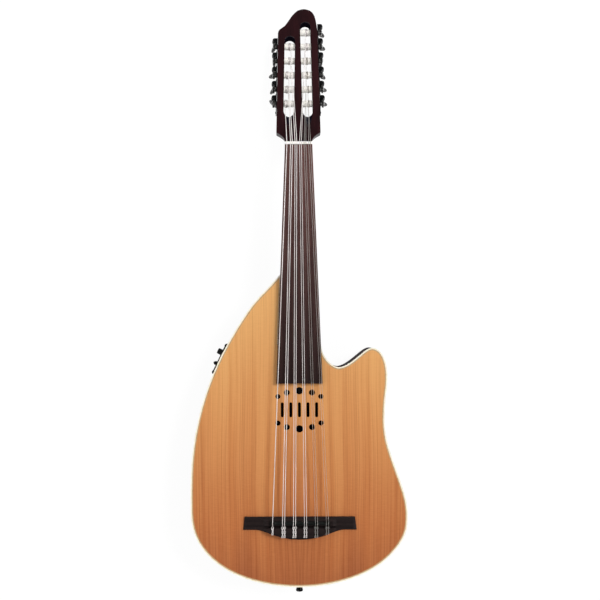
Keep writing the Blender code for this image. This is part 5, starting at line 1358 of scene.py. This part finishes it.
@dataclass
class MachineHeads:
    """Eleven worm-gear machine heads: rollers, wheels, worm shafts, buttons and screws.

    Attributes:
        teeth: Teeth of a wheel.
        module: Pitch of the teeth over pi.
        wheel_thickness: Thickness of a wheel.
        wheel_out: Its middle, out from the head's side.
        pressure_angle: Slope of the flanks in degrees.
        backlash: Play between worm and wheel along the pitch.
        crest: Height of teeth and thread over the pitch line.
        root: Their depth under it.
        worm_radius: Pitch radius of the worm.
        thread_half: Half the length of the part of the shaft that is threaded.
        shaft_radius: Radius of the shaft.
        collar_radius: Radius of its two collars.
        hub_radius: Radius of the hub through the rail.
        ear_spacing: Distance between the plate's two ears.
        ear_thickness: Thickness of an ear.
        plate_thickness: Thickness of the plate.
        bevel: Cut at the edges of the teeth.
        groove: Depth of the grooves in a roller.
        play: Gap where pieces turn or slide on each other.
        screw_radius: Radius of a roller's screw.
        screw_height: Its height over the wheel.
        cross_radius: Radius of a plate screw.
        cross_height: Its height.
        first_cross: Place of the first plate screw past the first roller.
        last_cross: Place of the plate screw before the first roller.
        rail_grip: How far a roller reaches into the middle rail.
        button_length: Length of a button.
        button_width: Its width.
        button_thickness: Its thickness.
        button_gap: Gap between the head's back and the buttons.
        turns: How far each button stands turned, in degrees, from the nut on.
    """

    teeth: int = 14
    module: float = 0.0008
    wheel_thickness: float = 0.0030
    wheel_out: float = 0.0053
    pressure_angle: float = 20.0
    backlash: float = 0.0006
    crest: float = 0.0007
    root: float = 0.0010
    worm_radius: float = 0.0028
    thread_half: float = 0.0040
    shaft_radius: float = 0.0016
    collar_radius: float = 0.0024
    hub_radius: float = 0.0040
    ear_spacing: float = 0.0102
    ear_thickness: float = 0.0017
    plate_thickness: float = 0.0012
    bevel: float = 0.00025
    groove: float = 0.00025
    play: float = 0.0003
    screw_radius: float = 0.0029
    screw_height: float = 0.0013
    cross_radius: float = 0.0016
    cross_height: float = 0.0008
    first_cross: float = 0.0144
    last_cross: float = -0.0148
    rail_grip: float = 0.0022
    button_length: float = 0.0140
    button_width: float = 0.0185
    button_thickness: float = 0.0055
    button_gap: float = 0.0055
    turns: dict[Side, tuple[float, ...]] = field(default_factory=lambda: {
        Side.LEFT: (-40.0, 50.0, 18.0, 90.0, 61.0),
        Side.RIGHT: (-14.0, -12.0, -38.0, 90.0, -20.0, -34.0)})

    @property
    def lead(self) -> float:
        """Advance of the worm in one turn."""
        return math.pi * self.module

    @property
    def wheel_radius(self) -> float:
        """Pitch radius of the wheel."""
        return self.module * self.teeth / 2

    @property
    def flank_slope(self) -> float:
        """Slope of the flanks of teeth and thread."""
        return math.tan(math.radians(self.pressure_angle))

    @property
    def button_top(self) -> float:
        """Where a button starts along the shaft, from the roller's axis."""
        return -(LAYOUT.head_thickness - LAYOUT.roller_depth) - self.button_gap

    def sleeve(self) -> Skin:
        """The pale string roller between the rails, with a fine groove by each rail."""
        r = LAYOUT.roller_radius
        left = -LAYOUT.slot_inset - LAYOUT.slot_width / 2
        right = -LAYOUT.slot_inset + LAYOUT.slot_width / 2
        start, end, low = left - self.rail_grip, -self.play, r - self.groove
        profile = [(start, r * 0.5), (start, r - 0.0004), (start + 0.0004, r),
                   (left + 0.0010, r), (left + 0.0012, low), (left + 0.0016, low),
                   (left + 0.0018, r), (right - 0.0018, r), (right - 0.0016, low),
                   (right - 0.0012, low), (right - 0.0010, r), (end - 0.0004, r),
                   (end, r - 0.0004), (end, r * 0.5)]
        return lathe(profile, 40)

    def tooth_turns(self) -> tuple[Array, Array]:
        """Radius and angle of the corners round the toothed wheel.

        Returns:
            The radii and the angles, four to a tooth.
        """
        pitch, slope = 2 * math.pi / self.teeth, self.flank_slope
        thick = (self.lead - self.backlash) / 2
        low, high = self.wheel_radius - self.root, self.wheel_radius + self.crest
        low_half = (thick / 2 + self.root * slope) / low
        high_half = (thick / 2 - self.crest * slope) / high
        offsets = np.array([-low_half, -high_half, high_half, low_half]) + pitch / 2
        angles = (np.arange(self.teeth)[:, None] * pitch + offsets).ravel()
        return np.tile([low, high, high, low], self.teeth), angles

    def wheel(self) -> Skin:
        """Hub and toothed wheel with a recessed face, the teeth slanted like the thread.

        A ring at x has its teeth turned by x times the thread's slope over the radius.

        Returns:
            The closed skin, the axis along X.
        """
        radii, angles = self.tooth_turns()
        slant = self.lead / (2 * math.pi * self.worm_radius) / self.wheel_radius
        low = self.wheel_out - self.wheel_thickness / 2
        high, start, bevel = low + self.wheel_thickness, -self.play, self.bevel
        chamfer = np.where(radii > self.wheel_radius, radii - bevel, radii)
        rings: list[tuple[float, Array | float]] = [
            (start, self.hub_radius * 0.6), (start, self.hub_radius), (low, self.hub_radius),
            (low, chamfer), (low + bevel, radii), (self.wheel_out, radii), (high - bevel, radii),
            (high, chamfer), (high, 0.0041), (high - 0.0004, 0.0039), (high - 0.0004, 0.0016)]
        points = []
        for x, size in rings:
            turn = angles + (x - self.wheel_out) * slant
            size = np.broadcast_to(size, angles.shape)
            points.append(np.column_stack([np.full(len(angles), x), size * np.cos(turn),
                                           size * np.sin(turn)]))
        return grid(np.array(points))

    def slotted_head(self, base: float, radius: float, height: float, slot: float) -> Skin:
        """A screw head with a straight slot: a low disc and two raised half discs.

        Args:
            base: Where it starts along X.
            radius: Radius of the head.
            height: Its height.
            slot: Width of the slot.

        Returns:
            The closed skins of its three parts.
        """
        disc = lathe([(base, radius), (base + height * 0.5, radius)], 32)
        edge, count = math.asin(slot / 2 / radius), 15
        halves = []
        for way, start in ((1, 0.0), (-1, math.pi)):
            turn = np.linspace(edge, math.pi - edge, count) + start
            outline = np.column_stack([np.cos(turn), np.sin(turn)]) * radius
            rings = [(0.45, 1.0, 0.0), (0.85, 1.0, 0.0), (1.0, 0.90, way * slot * 0.05)]
            halves.append(grid(np.array([
                np.column_stack([np.full(count, base + height * level),
                                 outline * size + [0.0, off]])
                for level, size, off in rings])))
        return joined([disc, *halves])

    def worm(self) -> Skin:
        """Worm and shaft, the axis along Z.

        The radius is root + depth x trapezoid(d), where d is the height above the middle
        of the thread, which climbs one lead a turn.

        Returns:
            The closed skin.
        """
        slope, play, steps = self.flank_slope, self.play, 32
        thick = (self.lead - self.backlash) / 2
        root = self.worm_radius - self.root
        depth = self.root + self.crest
        root_half = thick / 2 + self.root * slope
        crest_half = thick / 2 - self.crest * slope
        collar = self.ear_spacing / 2 - play
        z = np.linspace(-self.thread_half, self.thread_half, 72)[:, None]
        phi = turns_round(steps)[None, :]
        middle = self.lead * (phi / (2 * math.pi) + 0.25)
        d = np.abs((z - middle + self.lead / 2) % self.lead - self.lead / 2)
        rise = np.clip((root_half - d) / (root_half - crest_half), 0, 1)
        rise *= np.clip((self.thread_half - 0.0003 - np.abs(z)) / 0.0004, 0, 1)
        radius = root + depth * rise
        thread = np.stack([radius * np.cos(phi), radius * np.sin(phi),
                           np.broadcast_to(z, radius.shape)], -1)

        def ring(r: float, height: float) -> Array:
            """One plain ring."""
            return np.stack([r * np.cos(phi[0]), r * np.sin(phi[0]), np.full(steps, height)], -1)

        s, c = self.shaft_radius, self.collar_radius
        top = self.ear_spacing / 2 + self.ear_thickness + 0.0008
        low = self.button_top - 0.0004
        below = [ring(s * 0.6, low), ring(s, low), ring(s, -collar), ring(c, -collar),
                 ring(c, -collar + 0.0006), ring(root, -collar + 0.0007)]
        above = [ring(root, collar - 0.0007), ring(c, collar - 0.0006), ring(c, collar),
                 ring(s, collar), ring(s, top - 0.0003), ring(s - 0.0003, top), ring(s * 0.4, top)]
        return grid(np.concatenate([np.array(below), thread, np.array(above)]))

    def button(self, turn: float) -> Skin:
        """Finger button: flat ovals that swell and draw in along the shaft.

        The half width is w sin(pi s)^0.42 with a slow belly, and each section is a
        rounded oval |x/w|^2.4 + |y/t|^2.4 = 1.

        Args:
            turn: How far it stands turned about the shaft.

        Returns:
            The closed skin.
        """
        s = np.linspace(0.0, 1.0, 26)[:, None]
        eased_s = (1 - np.cos(math.pi * s)) / 2
        height = self.button_top - self.button_length * eased_s
        swell = np.sin(math.pi * np.clip(eased_s, 0.004, 0.996)) ** 0.42 * (0.86 + 0.16 * eased_s)
        wide = self.button_width / 2 * swell
        thick = self.button_thickness / 2 * np.sin(math.pi * np.clip(eased_s, 0.01, 0.99)) ** 0.30
        wide = np.maximum(wide, 0.0023 * (eased_s < 0.1))
        phi, power = turns_round(36)[None, :], 2.4
        c, n = np.cos(phi), np.sin(phi)
        oval = (np.abs(c) ** power + np.abs(n) ** power) ** (-1 / power)
        x, y = wide * c * oval, thick * n * oval
        points = np.stack([x * math.cos(turn) - y * math.sin(turn),
                           x * math.sin(turn) + y * math.cos(turn),
                           np.broadcast_to(height, x.shape)], -1)
        return grid(points)

    def ferrule(self) -> Skin:
        """Small metal collar between shaft and button."""
        top = self.button_top
        profile = [(top - 0.0012, 0.0018), (top - 0.0012, 0.0026), (top + 0.0002, 0.0026),
                   (top + 0.0006, 0.0022), (top + 0.0006, 0.0017)]
        skin = lathe(profile, 28)
        return skin.placed(turned(1, -math.pi / 2))

    def cross_screw(self) -> Skin:
        """Domed plate screw with a cross cut into it as four raised quarters."""
        r, high, slot_turn, count = self.cross_radius, self.cross_height, 0.18, 7
        base = LAYOUT.seat_gap + self.plate_thickness - 0.0001
        parts = [lathe([(base, r), (base + high * 0.45, r)], 28)]
        for start in np.arange(4) * math.pi / 2:
            turn = np.linspace(slot_turn, math.pi / 2 - slot_turn, count) + start
            rim = np.column_stack([np.cos(turn), np.sin(turn)]) * r
            outline = np.concatenate([rim, rim[count // 2:count // 2 + 1] * 0.30])
            middle = outline.mean(axis=0)
            rings = [(base + high * 0.40, 1.0), (base + high * 0.75, 0.98), (base + high, 0.78)]
            parts.append(grid(np.array([
                np.column_stack([np.full(count + 1, x), middle + (outline - middle) * size])
                for x, size in rings])))
        return joined(parts)

    def build(self) -> None:
        """Build every unit in place, and the screws that hold the plates."""
        for side, count in ((Side.LEFT, 5), (Side.RIGHT, 6)):
            dress_node("tuner_plate_" + side.word, FINISH.hardware)
            for index in range(count):
                self.build_unit(side, index)
            self.build_plate_screws(side, count)

    def build_unit(self, side: Side, index: int) -> None:
        """Build one roller with its wheel, and one worm shaft with its button.

        Args:
            side: Side of the head.
            index: Number from the nut, from 0.
        """
        label = f"{side.word}_{index + 1}"
        unit = LAYOUT.unit_frame(side, index)
        body = "roller_" + label
        make_piece(body + "_sleeve", self.sleeve().placed(unit), FINISH.roller, body, [body])
        make_piece(body + "_wheel", self.wheel().placed(unit), FINISH.wheel, body, sharp=28.0)
        face = self.wheel_out + self.wheel_thickness / 2
        screw = self.slotted_head(face - 0.0004, self.screw_radius * 0.93,
                                  self.screw_height + 0.0003, slot=0.0006)
        tilt = turned(0, math.radians(37.0 * index + 20.0 * side.value))
        make_piece(body + "_screw", screw.placed(unit @ tilt), FINISH.steel, body, sharp=28.0)

        facing = turned(2, 0.0 if side is Side.RIGHT else math.pi)
        offset = self.wheel_radius + self.worm_radius
        place = unit @ shifted(self.wheel_out, side.value * offset, 0.0) @ facing
        shaft = "tuner_shaft_" + label
        make_piece(shaft + "_worm", self.worm().placed(place), FINISH.hardware, shaft, [shaft],
                   sharp=40.0)
        turn = math.radians(self.turns[side][index])
        make_piece(shaft + "_button", self.button(turn).placed(place), FINISH.button, shaft,
                   sharp=60.0)
        make_piece(shaft + "_ferrule", self.ferrule().placed(place), FINISH.steel, shaft,
                   sharp=30.0)
        LOG.info("machine head %s", label)

    def build_plate_screws(self, side: Side, count: int) -> None:
        """Build the screws of one plate, one between each two wheels and one at its tail.

        Args:
            side: Side of the head.
            count: Number of machine heads on it.
        """
        places = [index * LAYOUT.tuner_pitch + self.first_cross for index in range(count - 1)]
        first = LAYOUT.unit_frame(side, 0)
        screws = []
        for number, y in enumerate([*places, self.last_cross]):
            here = first @ shifted(0, side.value * y, 0) @ turned(0, 0.4 + 0.7 * number)
            screws.append(self.cross_screw().placed(here))
        make_piece(f"plate_screws_{side.word}", joined(screws), FINISH.hardware, sharp=28.0)


# Body, neck and bridge

@dataclass
class WoodenParts:
    """The wooden parts, the nut and the saddle.

    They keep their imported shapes, apart from the smooth edge of body shell and binding.

    Attributes:
        line_gap: Distance of the inlaid line inside the soundboard's edge, negative past it.
        line_width: Its width.
        line_rise: Its height over the soundboard.
        line_depth: Its depth in the soundboard.
    """

    line_gap: float = -0.00028
    line_width: float = 0.0018
    line_rise: float = 0.00006
    line_depth: float = 0.0003

    def edge_line(self, edge: Array) -> Skin:
        """A thin inlaid line just inside the binding.

        Each of its four corners is the edge moved inwards by its own distance along the
        mean of the two neighbouring edges' normals.

        Args:
            edge: The points of the soundboard's edge, in order.

        Returns:
            The closed skin.
        """
        ahead = np.roll(edge, -1, axis=0) - edge
        side = np.column_stack([-ahead[:, 1], ahead[:, 0]])
        side /= np.linalg.norm(side, axis=1, keepdims=True)
        mean = side + np.roll(side, 1, axis=0)
        mean /= np.linalg.norm(mean, axis=1, keepdims=True)
        low, high = LAYOUT.top_z - self.line_depth, LAYOUT.top_z + self.line_rise
        near, far = self.line_gap, self.line_gap + self.line_width
        rings = np.stack([np.column_stack([edge + mean * inset, np.full(len(edge), z)])
                          for inset, z in ((near, low), (near, high), (far, high), (far, low))], 1)
        return grid(rings, looped=True)

    def build(self) -> None:
        """Dress every wooden node and add the inlaid line."""
        outline = board_outline()
        dress_node("soundboard", FINISH.cedar)
        smooth_node("body_shell", FINISH.lacquer, outline)
        smooth_node("neck", FINISH.neck)
        for node in ("brace_upper", "brace_left", "brace_right"):
            dress_node(node, FINISH.spruce)
        smooth_node("binding", FINISH.binding, outline)
        dress_node("fingerboard", FINISH.fingerboard)
        dress_node("nut", FINISH.bone)
        dress_node("bridge", FINISH.bridge)
        dress_node("saddle", FINISH.graphite)
        dress_node("truss_rod", FINISH.hardware)
        dress_node("saddle_pickup", FINISH.steel)
        make_piece("edge_line", self.edge_line(outline.points()), FINISH.line, sharp=50.0)
        LOG.info("wooden parts dressed")


# Controls and fittings

@dataclass
class Controls:
    """The panel in the left wall: knob, three sliders, printed marks and screws.

    Attributes:
        panel_length: Length of the panel.
        panel_height: Its height.
        panel_thickness: Its thickness.
        screw_inset: Distance of its screws from its edges.
        play: Gap under the knob and the sliders.
        knob_offset: The knob, along the panel from its middle.
        knob_radius: Radius of the knob.
        knob_height: Its height.
        knob_turn: How far it turns each way, in degrees.
        flutes: Flutes round it.
        flute_depth: Their depth, as a share of its radius.
        slider_offset: The sliders, along the panel from its middle.
        slider_spacing: Distance between two of them.
        slider_travel: How far each moves each way.
        ink: Thickness of the printed marks.
    """

    panel_length: float = 0.052
    panel_height: float = 0.036
    panel_thickness: float = 0.0034
    screw_inset: float = 0.0032
    play: float = 0.0003
    knob_offset: float = -0.0098
    knob_radius: float = 0.0048
    knob_height: float = 0.0072
    knob_turn: float = 140.0
    flutes: int = 30
    flute_depth: float = 0.045
    slider_offset: float = 0.0092
    slider_spacing: float = 0.0095
    slider_travel: float = 0.0075
    ink: float = 0.00006

    @property
    def base(self) -> float:
        """Where knob and sliders start, out from the wall."""
        return self.panel_thickness + self.play

    def panel_frame(self) -> Array:
        """Frame of the panel: X out of the wall, Y towards the tail, Z up.

        Returns:
            The frame, taken from the joints of the knob and a slider.
        """
        knob, slide = joint_named("volume_turn"), joint_named("mid_slide")
        out, along = np.array(knob["axis"], float), -np.array(slide["axis"], float)
        made = np.eye(4)
        made[:3, 0], made[:3, 1], made[:3, 2] = out, along, np.cross(out, along)
        made[:3, 3] = np.array(knob["pos_m"]) - along * self.knob_offset
        return made

    def knob(self) -> Skin:
        """A fluted knob: its radius swells and dips all round, fading to the top.

        A level is a share of the height, a share of the radius and a share of the flutes.

        Returns:
            The closed skin, the axis along X.
        """
        levels = np.array([
            (0.0, 0.86, 0.0), (0.0, 1.0, 0.0), (0.10, 1.0, 0.0), (0.14, 0.985, 1.0),
            (0.78, 0.945, 1.0), (0.84, 0.93, 0.3), (0.93, 0.88, 0.0), (0.98, 0.82, 0.0),
            (1.0, 0.74, 0.0), (0.97, 0.62, 0.0), (0.96, 0.20, 0.0)])
        phi = turns_round(6 * self.flutes)[None, :]
        flute = self.flute_depth * np.abs(np.sin(self.flutes / 2 * phi))
        radius = self.knob_radius * (levels[:, 1:2] - flute * levels[:, 2:3])
        x = np.broadcast_to(self.base + self.knob_height * levels[:, :1], radius.shape)
        return grid(np.stack([x, radius * np.cos(phi), radius * np.sin(phi)], -1))

    def slider(self) -> Skin:
        """A slider cap: a rounded block with three ribs across it, the middle one highest.

        Returns:
            The closed skin, X out of the panel.
        """
        cap = rounded_box((0.0030, 0.0054, 0.0062), (self.base, 0, 0), 0.0008, 0.0005)
        ribs = []
        for k in (-1, 0, 1):
            foot = (self.base + 0.0028 - 0.0004 * abs(k), 0.0012 * k, 0)
            ribs.append(rounded_box((0.0020, 0.0007, 0.0056), foot, 0.00025, 0.0002))
        middle = rounded_box((0.0024, 0.0007, 0.0058), (self.base + 0.0026, 0, 0), 0.00025, 0.0002)
        return joined([cap, *ribs, middle])

    def marks(self) -> Skin:
        """Printed marks: eleven ticks round the knob and three beside each slider."""
        face = self.panel_thickness - 0.00002
        parts = []
        for angle in np.radians(np.linspace(-self.knob_turn, self.knob_turn, 11)):
            tick = rounded_box((self.ink, 0.00035, 0.0012), (face, 0, 0), 0.0001)
            parts.append(tick.placed(shifted(0, self.knob_offset, 0) @ turned(0, angle)
                                     @ shifted(0, 0, self.knob_radius + 0.0014)))
        for row in (-1, 0, 1):
            for end in (-1, 0, 1):
                y = self.slider_offset + end * self.slider_travel
                parts.append(rounded_box((self.ink, 0.0003, 0.0010),
                                         (face, y, row * self.slider_spacing + 0.0040), 0.0001))
        return joined(parts)

    def build(self, heads: MachineHeads) -> None:
        """Build the moving controls, the marks and the panel's four screws.

        Args:
            heads: Gives the shape of a cross-slotted screw.
        """
        place = self.panel_frame()
        for node in ("control_panel", "preamp_case"):
            dress_node(node, FINISH.plastic)
        turn = place @ shifted(0, self.knob_offset, 0)
        make_piece("volume_knob_cap", self.knob().placed(turn), FINISH.plastic, "volume_knob",
                   ["volume_knob"], sharp=40.0)
        foot = (self.base + self.knob_height - 0.00032, 0.0, self.knob_radius * 0.48)
        pointer = rounded_box((0.0003, 0.0005, 0.0024), foot, 0.0002)
        make_piece("volume_pointer", pointer.placed(turn), FINISH.marks, "volume_knob")
        rows = (("bass_slider", -1), ("mid_slider", 0), ("treble_slider", 1))
        for node, row in rows:
            here = place @ shifted(0, self.slider_offset, row * self.slider_spacing)
            make_piece(node + "_cap", self.slider().placed(here), FINISH.plastic, node, [node])
        make_piece("panel_marks", self.marks().placed(place), FINISH.marks)
        drop = self.panel_thickness - LAYOUT.seat_gap - heads.plate_thickness
        half_length = self.panel_length / 2 - self.screw_inset
        half_height = self.panel_height / 2 - self.screw_inset
        screws = []
        for y in (-1, 1):
            for z in (-1, 1):
                here = place @ shifted(drop, y * half_length, z * half_height)
                screws.append(heads.cross_screw().placed(here @ turned(0, 0.5 * y + 0.3 * z)))
        make_piece("panel_screws", joined(screws), FINISH.hardware, sharp=28.0)
        LOG.info("controls built")


@dataclass
class Fittings:
    """Battery drawer, output jack, strap button and the hidden electronics.

    Attributes:
        tail_y: Where the tail's wall stands.
        strap_z: Height of the strap button.
        jack_nut_radius: Radius of the jack's nut at its corners.
        jack_nut_hole: Radius of its hole.
        jack_nut_height: Its height.
        grip_spacing: Distance between the ribs on the drawer.
        grip_inset: Their place in from the drawer's end.
    """

    tail_y: float = -0.1005
    strap_z: float = 0.035
    jack_nut_radius: float = 0.0062
    jack_nut_hole: float = 0.0040
    jack_nut_height: float = 0.0021
    grip_spacing: float = 0.0024
    grip_inset: float = 0.012

    def strap_button(self) -> Skin:
        """Turned strap button with a flared base, a slim waist and a rounded cap."""
        profile = [(0.0160, 0.0006), (0.0145, 0.0019), (-0.0003, 0.0020), (-0.0003, 0.0062),
                   (-0.0010, 0.0062), (-0.0020, 0.0058), (-0.0032, 0.0052), (-0.0048, 0.0048),
                   (-0.0090, 0.0047), (-0.0104, 0.0049), (-0.0114, 0.0054), (-0.0120, 0.0056),
                   (-0.0136, 0.0056), (-0.0145, 0.0053), (-0.0150, 0.0046), (-0.0150, 0.0030),
                   (-0.0144, 0.0026), (-0.0144, 0.0004)]
        return lathe(profile[::-1], 48)

    def nut_ring(self) -> Skin:
        """Six-sided nut round the jack's socket, as a ring with a bevelled face.

        Returns:
            The closed skin, the axis along X.
        """
        steps, top, bevel = 48, self.jack_nut_height, 0.0005
        turn = turns_round(steps)
        flat = np.cos(np.mod(turn, math.pi / 3) - math.pi / 6)
        hexagon = self.jack_nut_radius * math.cos(math.pi / 6) / flat
        inner = np.full(steps, self.jack_nut_hole)
        rings = [(0.0, inner), (0.0, hexagon), (top - bevel, hexagon),
                 (top, np.minimum(hexagon, self.jack_nut_radius - 0.0004)), (top, inner)]
        points = np.array([np.column_stack([np.full(steps, x), r * np.cos(turn), r * np.sin(turn)])
                           for x, r in rings])
        return grid(points, looped=True)

    def build(self) -> None:
        """Dress the fittings and add the strap button, the jack's nut and the drawer's grip."""
        place = shifted(0.0, self.tail_y, self.strap_z) @ turned(2, math.pi / 2)
        make_piece("strap_button_turned", self.strap_button().placed(place), FINISH.hardware,
                   replaces=["strap_button"], sharp=30.0)
        dress_node("battery_drawer", FINISH.plastic)
        dress_node("battery", FINISH.steel)
        dress_node("output_jack", FINISH.hardware)
        for node in ("jack_lead", "pickup_lead"):
            dress_node(node, FINISH.rubber)
        low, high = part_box("output_jack")
        middle = (low + high) / 2
        seat = shifted(high.x, middle.y, middle.z)
        make_piece("jack_nut", self.nut_ring().placed(seat), FINISH.steel, sharp=28.0)
        low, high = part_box("battery_drawer")
        ribs = [rounded_box((0.0006, 0.0009, 0.0120), (0, self.grip_spacing * k, 0), 0.0003, 0.0002)
                for k in (-2, -1, 0, 1, 2)]
        face = shifted(low.x + 0.0001, high.y - self.grip_inset, (low.z + high.z) / 2)
        make_piece("drawer_grip", joined(ribs).placed(face @ turned(2, math.pi)), FINISH.plastic,
                   "battery_drawer")
        LOG.info("fittings built")


# Studio

def aimed_from(x: float, y: float, z: float) -> tuple[float, float, float]:
    """The turns of a lamp that stands in this direction from what it lights."""
    return 0.0, math.atan2(math.hypot(x, y), z), math.atan2(y, x)


@dataclass
class Studio:
    """Floor, soft light and the camera of the photograph.

    Attributes:
        eye: Place of the camera.
        lens: Its focal length in millimetres, on a sensor as wide as sensor_width.
        sensor_width: Width of that sensor in millimetres.
        shift: Shift of the lens.
        roll: Turn of the camera.
        floor_half: Half the floor's width.
        floor_z: Height of the floor.
        floor_glow: How bright the floor looks to the camera.
        floor_share: Share of that glow in what the camera sees.
        horizon: Heights of the surround between which it dims, and both strengths.
        key_towards: Direction from the object to the key lamp.
        key_strength: Its strength.
        key_angle: How wide it looks from the object, in degrees.
        fill_towards: Direction from the object to the fill lamp.
        fill_strength: Its strength.
        fill_angle: How wide it looks from the object, in degrees.
        head_lamp_place: Place of the lamp over the head.
        head_lamp_aim: The place that it lights.
        head_lamp_power: Its power.
        head_lamp_radius: Its radius.
        head_lamp_angle: Width of its beam in degrees.
    """

    eye: tuple[float, float, float] = (-0.0375, 0.2938, 1.570)
    lens: float = 58.06
    sensor_width: float = 36.0
    shift: tuple[float, float] = (0.0417, 0.0550)
    roll: float = -0.0034
    floor_half: float = 9.0
    floor_z: float = -0.0004
    floor_glow: float = 1.05
    floor_share: float = 0.89
    horizon: tuple[float, float, float, float] = (0.45, 0.88, 1.0, 0.14)
    key_towards: tuple[float, float, float] = (0.80, 0.45, 0.95)
    key_strength: float = 1.85
    key_angle: float = 24.0
    fill_towards: tuple[float, float, float] = (-0.7, -0.4, 0.8)
    fill_strength: float = 0.30
    fill_angle: float = 60.0
    head_lamp_place: tuple[float, float, float] = (0.35, 0.50, 1.25)
    head_lamp_aim: tuple[float, float, float] = (0.0, 0.68, 0.06)
    head_lamp_power: float = 17.0
    head_lamp_radius: float = 0.12
    head_lamp_angle: float = 22.0

    def floor(self) -> None:
        """A wide white floor that keeps a faint shadow."""
        mesh = bpy.data.meshes.new("floor")
        half, z = self.floor_half, self.floor_z
        mesh.from_pydata([(-half, -half, z), (half, -half, z), (half, half, z), (-half, half, z)],
                         [], [(0, 1, 2, 3)])
        graph = Graph("floor_white")
        tree = graph.tree
        path = graph.node("ShaderNodeLightPath")
        seen = graph.number("MAXIMUM", path.outputs["Is Camera Ray"], path.outputs["Is Glossy Ray"])
        seen = graph.number("MAXIMUM", seen, path.outputs["Is Transmission Ray"])
        glow = graph.node("ShaderNodeEmission")
        glow.inputs["Color"].default_value = (*WHITE, 1.0)
        glow.inputs["Strength"].default_value = self.floor_glow
        mix = graph.node("ShaderNodeMixShader")
        graph.feed(mix.inputs[0], graph.number("MULTIPLY", seen, self.floor_share))
        graph.set(Base_Color=(0.92, 0.92, 0.92), Roughness=0.9, Specular_IOR_Level=0.0)
        tree.links.new(graph.shader.outputs[0], mix.inputs[1])
        tree.links.new(glow.outputs[0], mix.inputs[2])
        tree.links.new(mix.outputs[0], tree.nodes["Material Output"].inputs[0])
        mesh.materials.append(graph.made)
        scene_object("floor", mesh)

    def world(self) -> None:
        """An even surround, bright near the horizon and dim overhead."""
        world = bpy.data.worlds.new("surround")
        world.use_nodes = True
        tree = world.node_tree
        shade = tree.nodes["Background"]
        split = tree.nodes.new("ShaderNodeSeparateXYZ")
        tree.links.new(tree.nodes.new("ShaderNodeTexCoord").outputs["Generated"], split.inputs[0])
        level = tree.nodes.new("ShaderNodeMapRange")
        tree.links.new(split.outputs[2], level.inputs[0])
        for socket, value in zip(list(level.inputs)[1:5], self.horizon):
            socket.default_value = value
        tree.links.new(level.outputs[0], shade.inputs["Strength"])
        shade.inputs["Color"].default_value = (*WHITE, 1.0)
        bpy.context.scene.world = world

    def lamp(self, name: str, towards: tuple[float, float, float], strength: float,
             angle: float) -> None:
        """A distant soft lamp.

        Args:
            name: Its name.
            towards: Direction from the object to the lamp.
            strength: Its strength.
            angle: How wide it looks from the object, in degrees.
        """
        data = bpy.data.lights.new(name, "SUN")
        data.energy = strength
        data.angle = math.radians(angle)
        scene_object(name, data).rotation_euler = aimed_from(*towards)

    def head_lamp(self) -> None:
        """A soft round lamp above the head, which lights its slots and the nut."""
        data = bpy.data.lights.new("head_lamp", "SPOT")
        data.energy = self.head_lamp_power
        data.shadow_soft_size = self.head_lamp_radius
        data.spot_size = math.radians(self.head_lamp_angle)
        data.spot_blend = 1.0
        lamp = scene_object("head_lamp", data)
        lamp.location = self.head_lamp_place
        lamp.rotation_euler = aimed_from(*(np.array(self.head_lamp_place) - self.head_lamp_aim))
        lamp.visible_camera = False

    def camera(self) -> None:
        """The camera above the soundboard, with the photograph's frame."""
        data = bpy.data.cameras.new("camera")
        data.lens = self.lens
        data.sensor_width = self.sensor_width
        data.sensor_fit = "HORIZONTAL"
        data.shift_x, data.shift_y = self.shift
        data.clip_end = 50.0
        camera = scene_object("camera", data)
        camera.location = self.eye
        camera.rotation_euler = (0.0, 0.0, self.roll)
        bpy.context.scene.camera = camera

    def build(self) -> None:
        """Set up the whole studio."""
        bpy.context.scene.view_settings.view_transform = "Standard"
        self.floor()
        self.world()
        self.lamp("key", self.key_towards, self.key_strength, self.key_angle)
        self.lamp("fill", self.fill_towards, self.fill_strength, self.fill_angle)
        self.head_lamp()
        self.camera()
        LOG.info("studio ready")


def main() -> None:
    """Build the instrument's looks in order and report each piece."""
    logging.basicConfig(level=logging.INFO, format="%(name)s: %(message)s")
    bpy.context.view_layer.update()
    Studio().build()
    WoodenParts().build()
    Strings().build()
    heads = MachineHeads()
    heads.build()
    Controls().build(heads)
    Fittings().build()


if __name__ == "__main__":
    main()
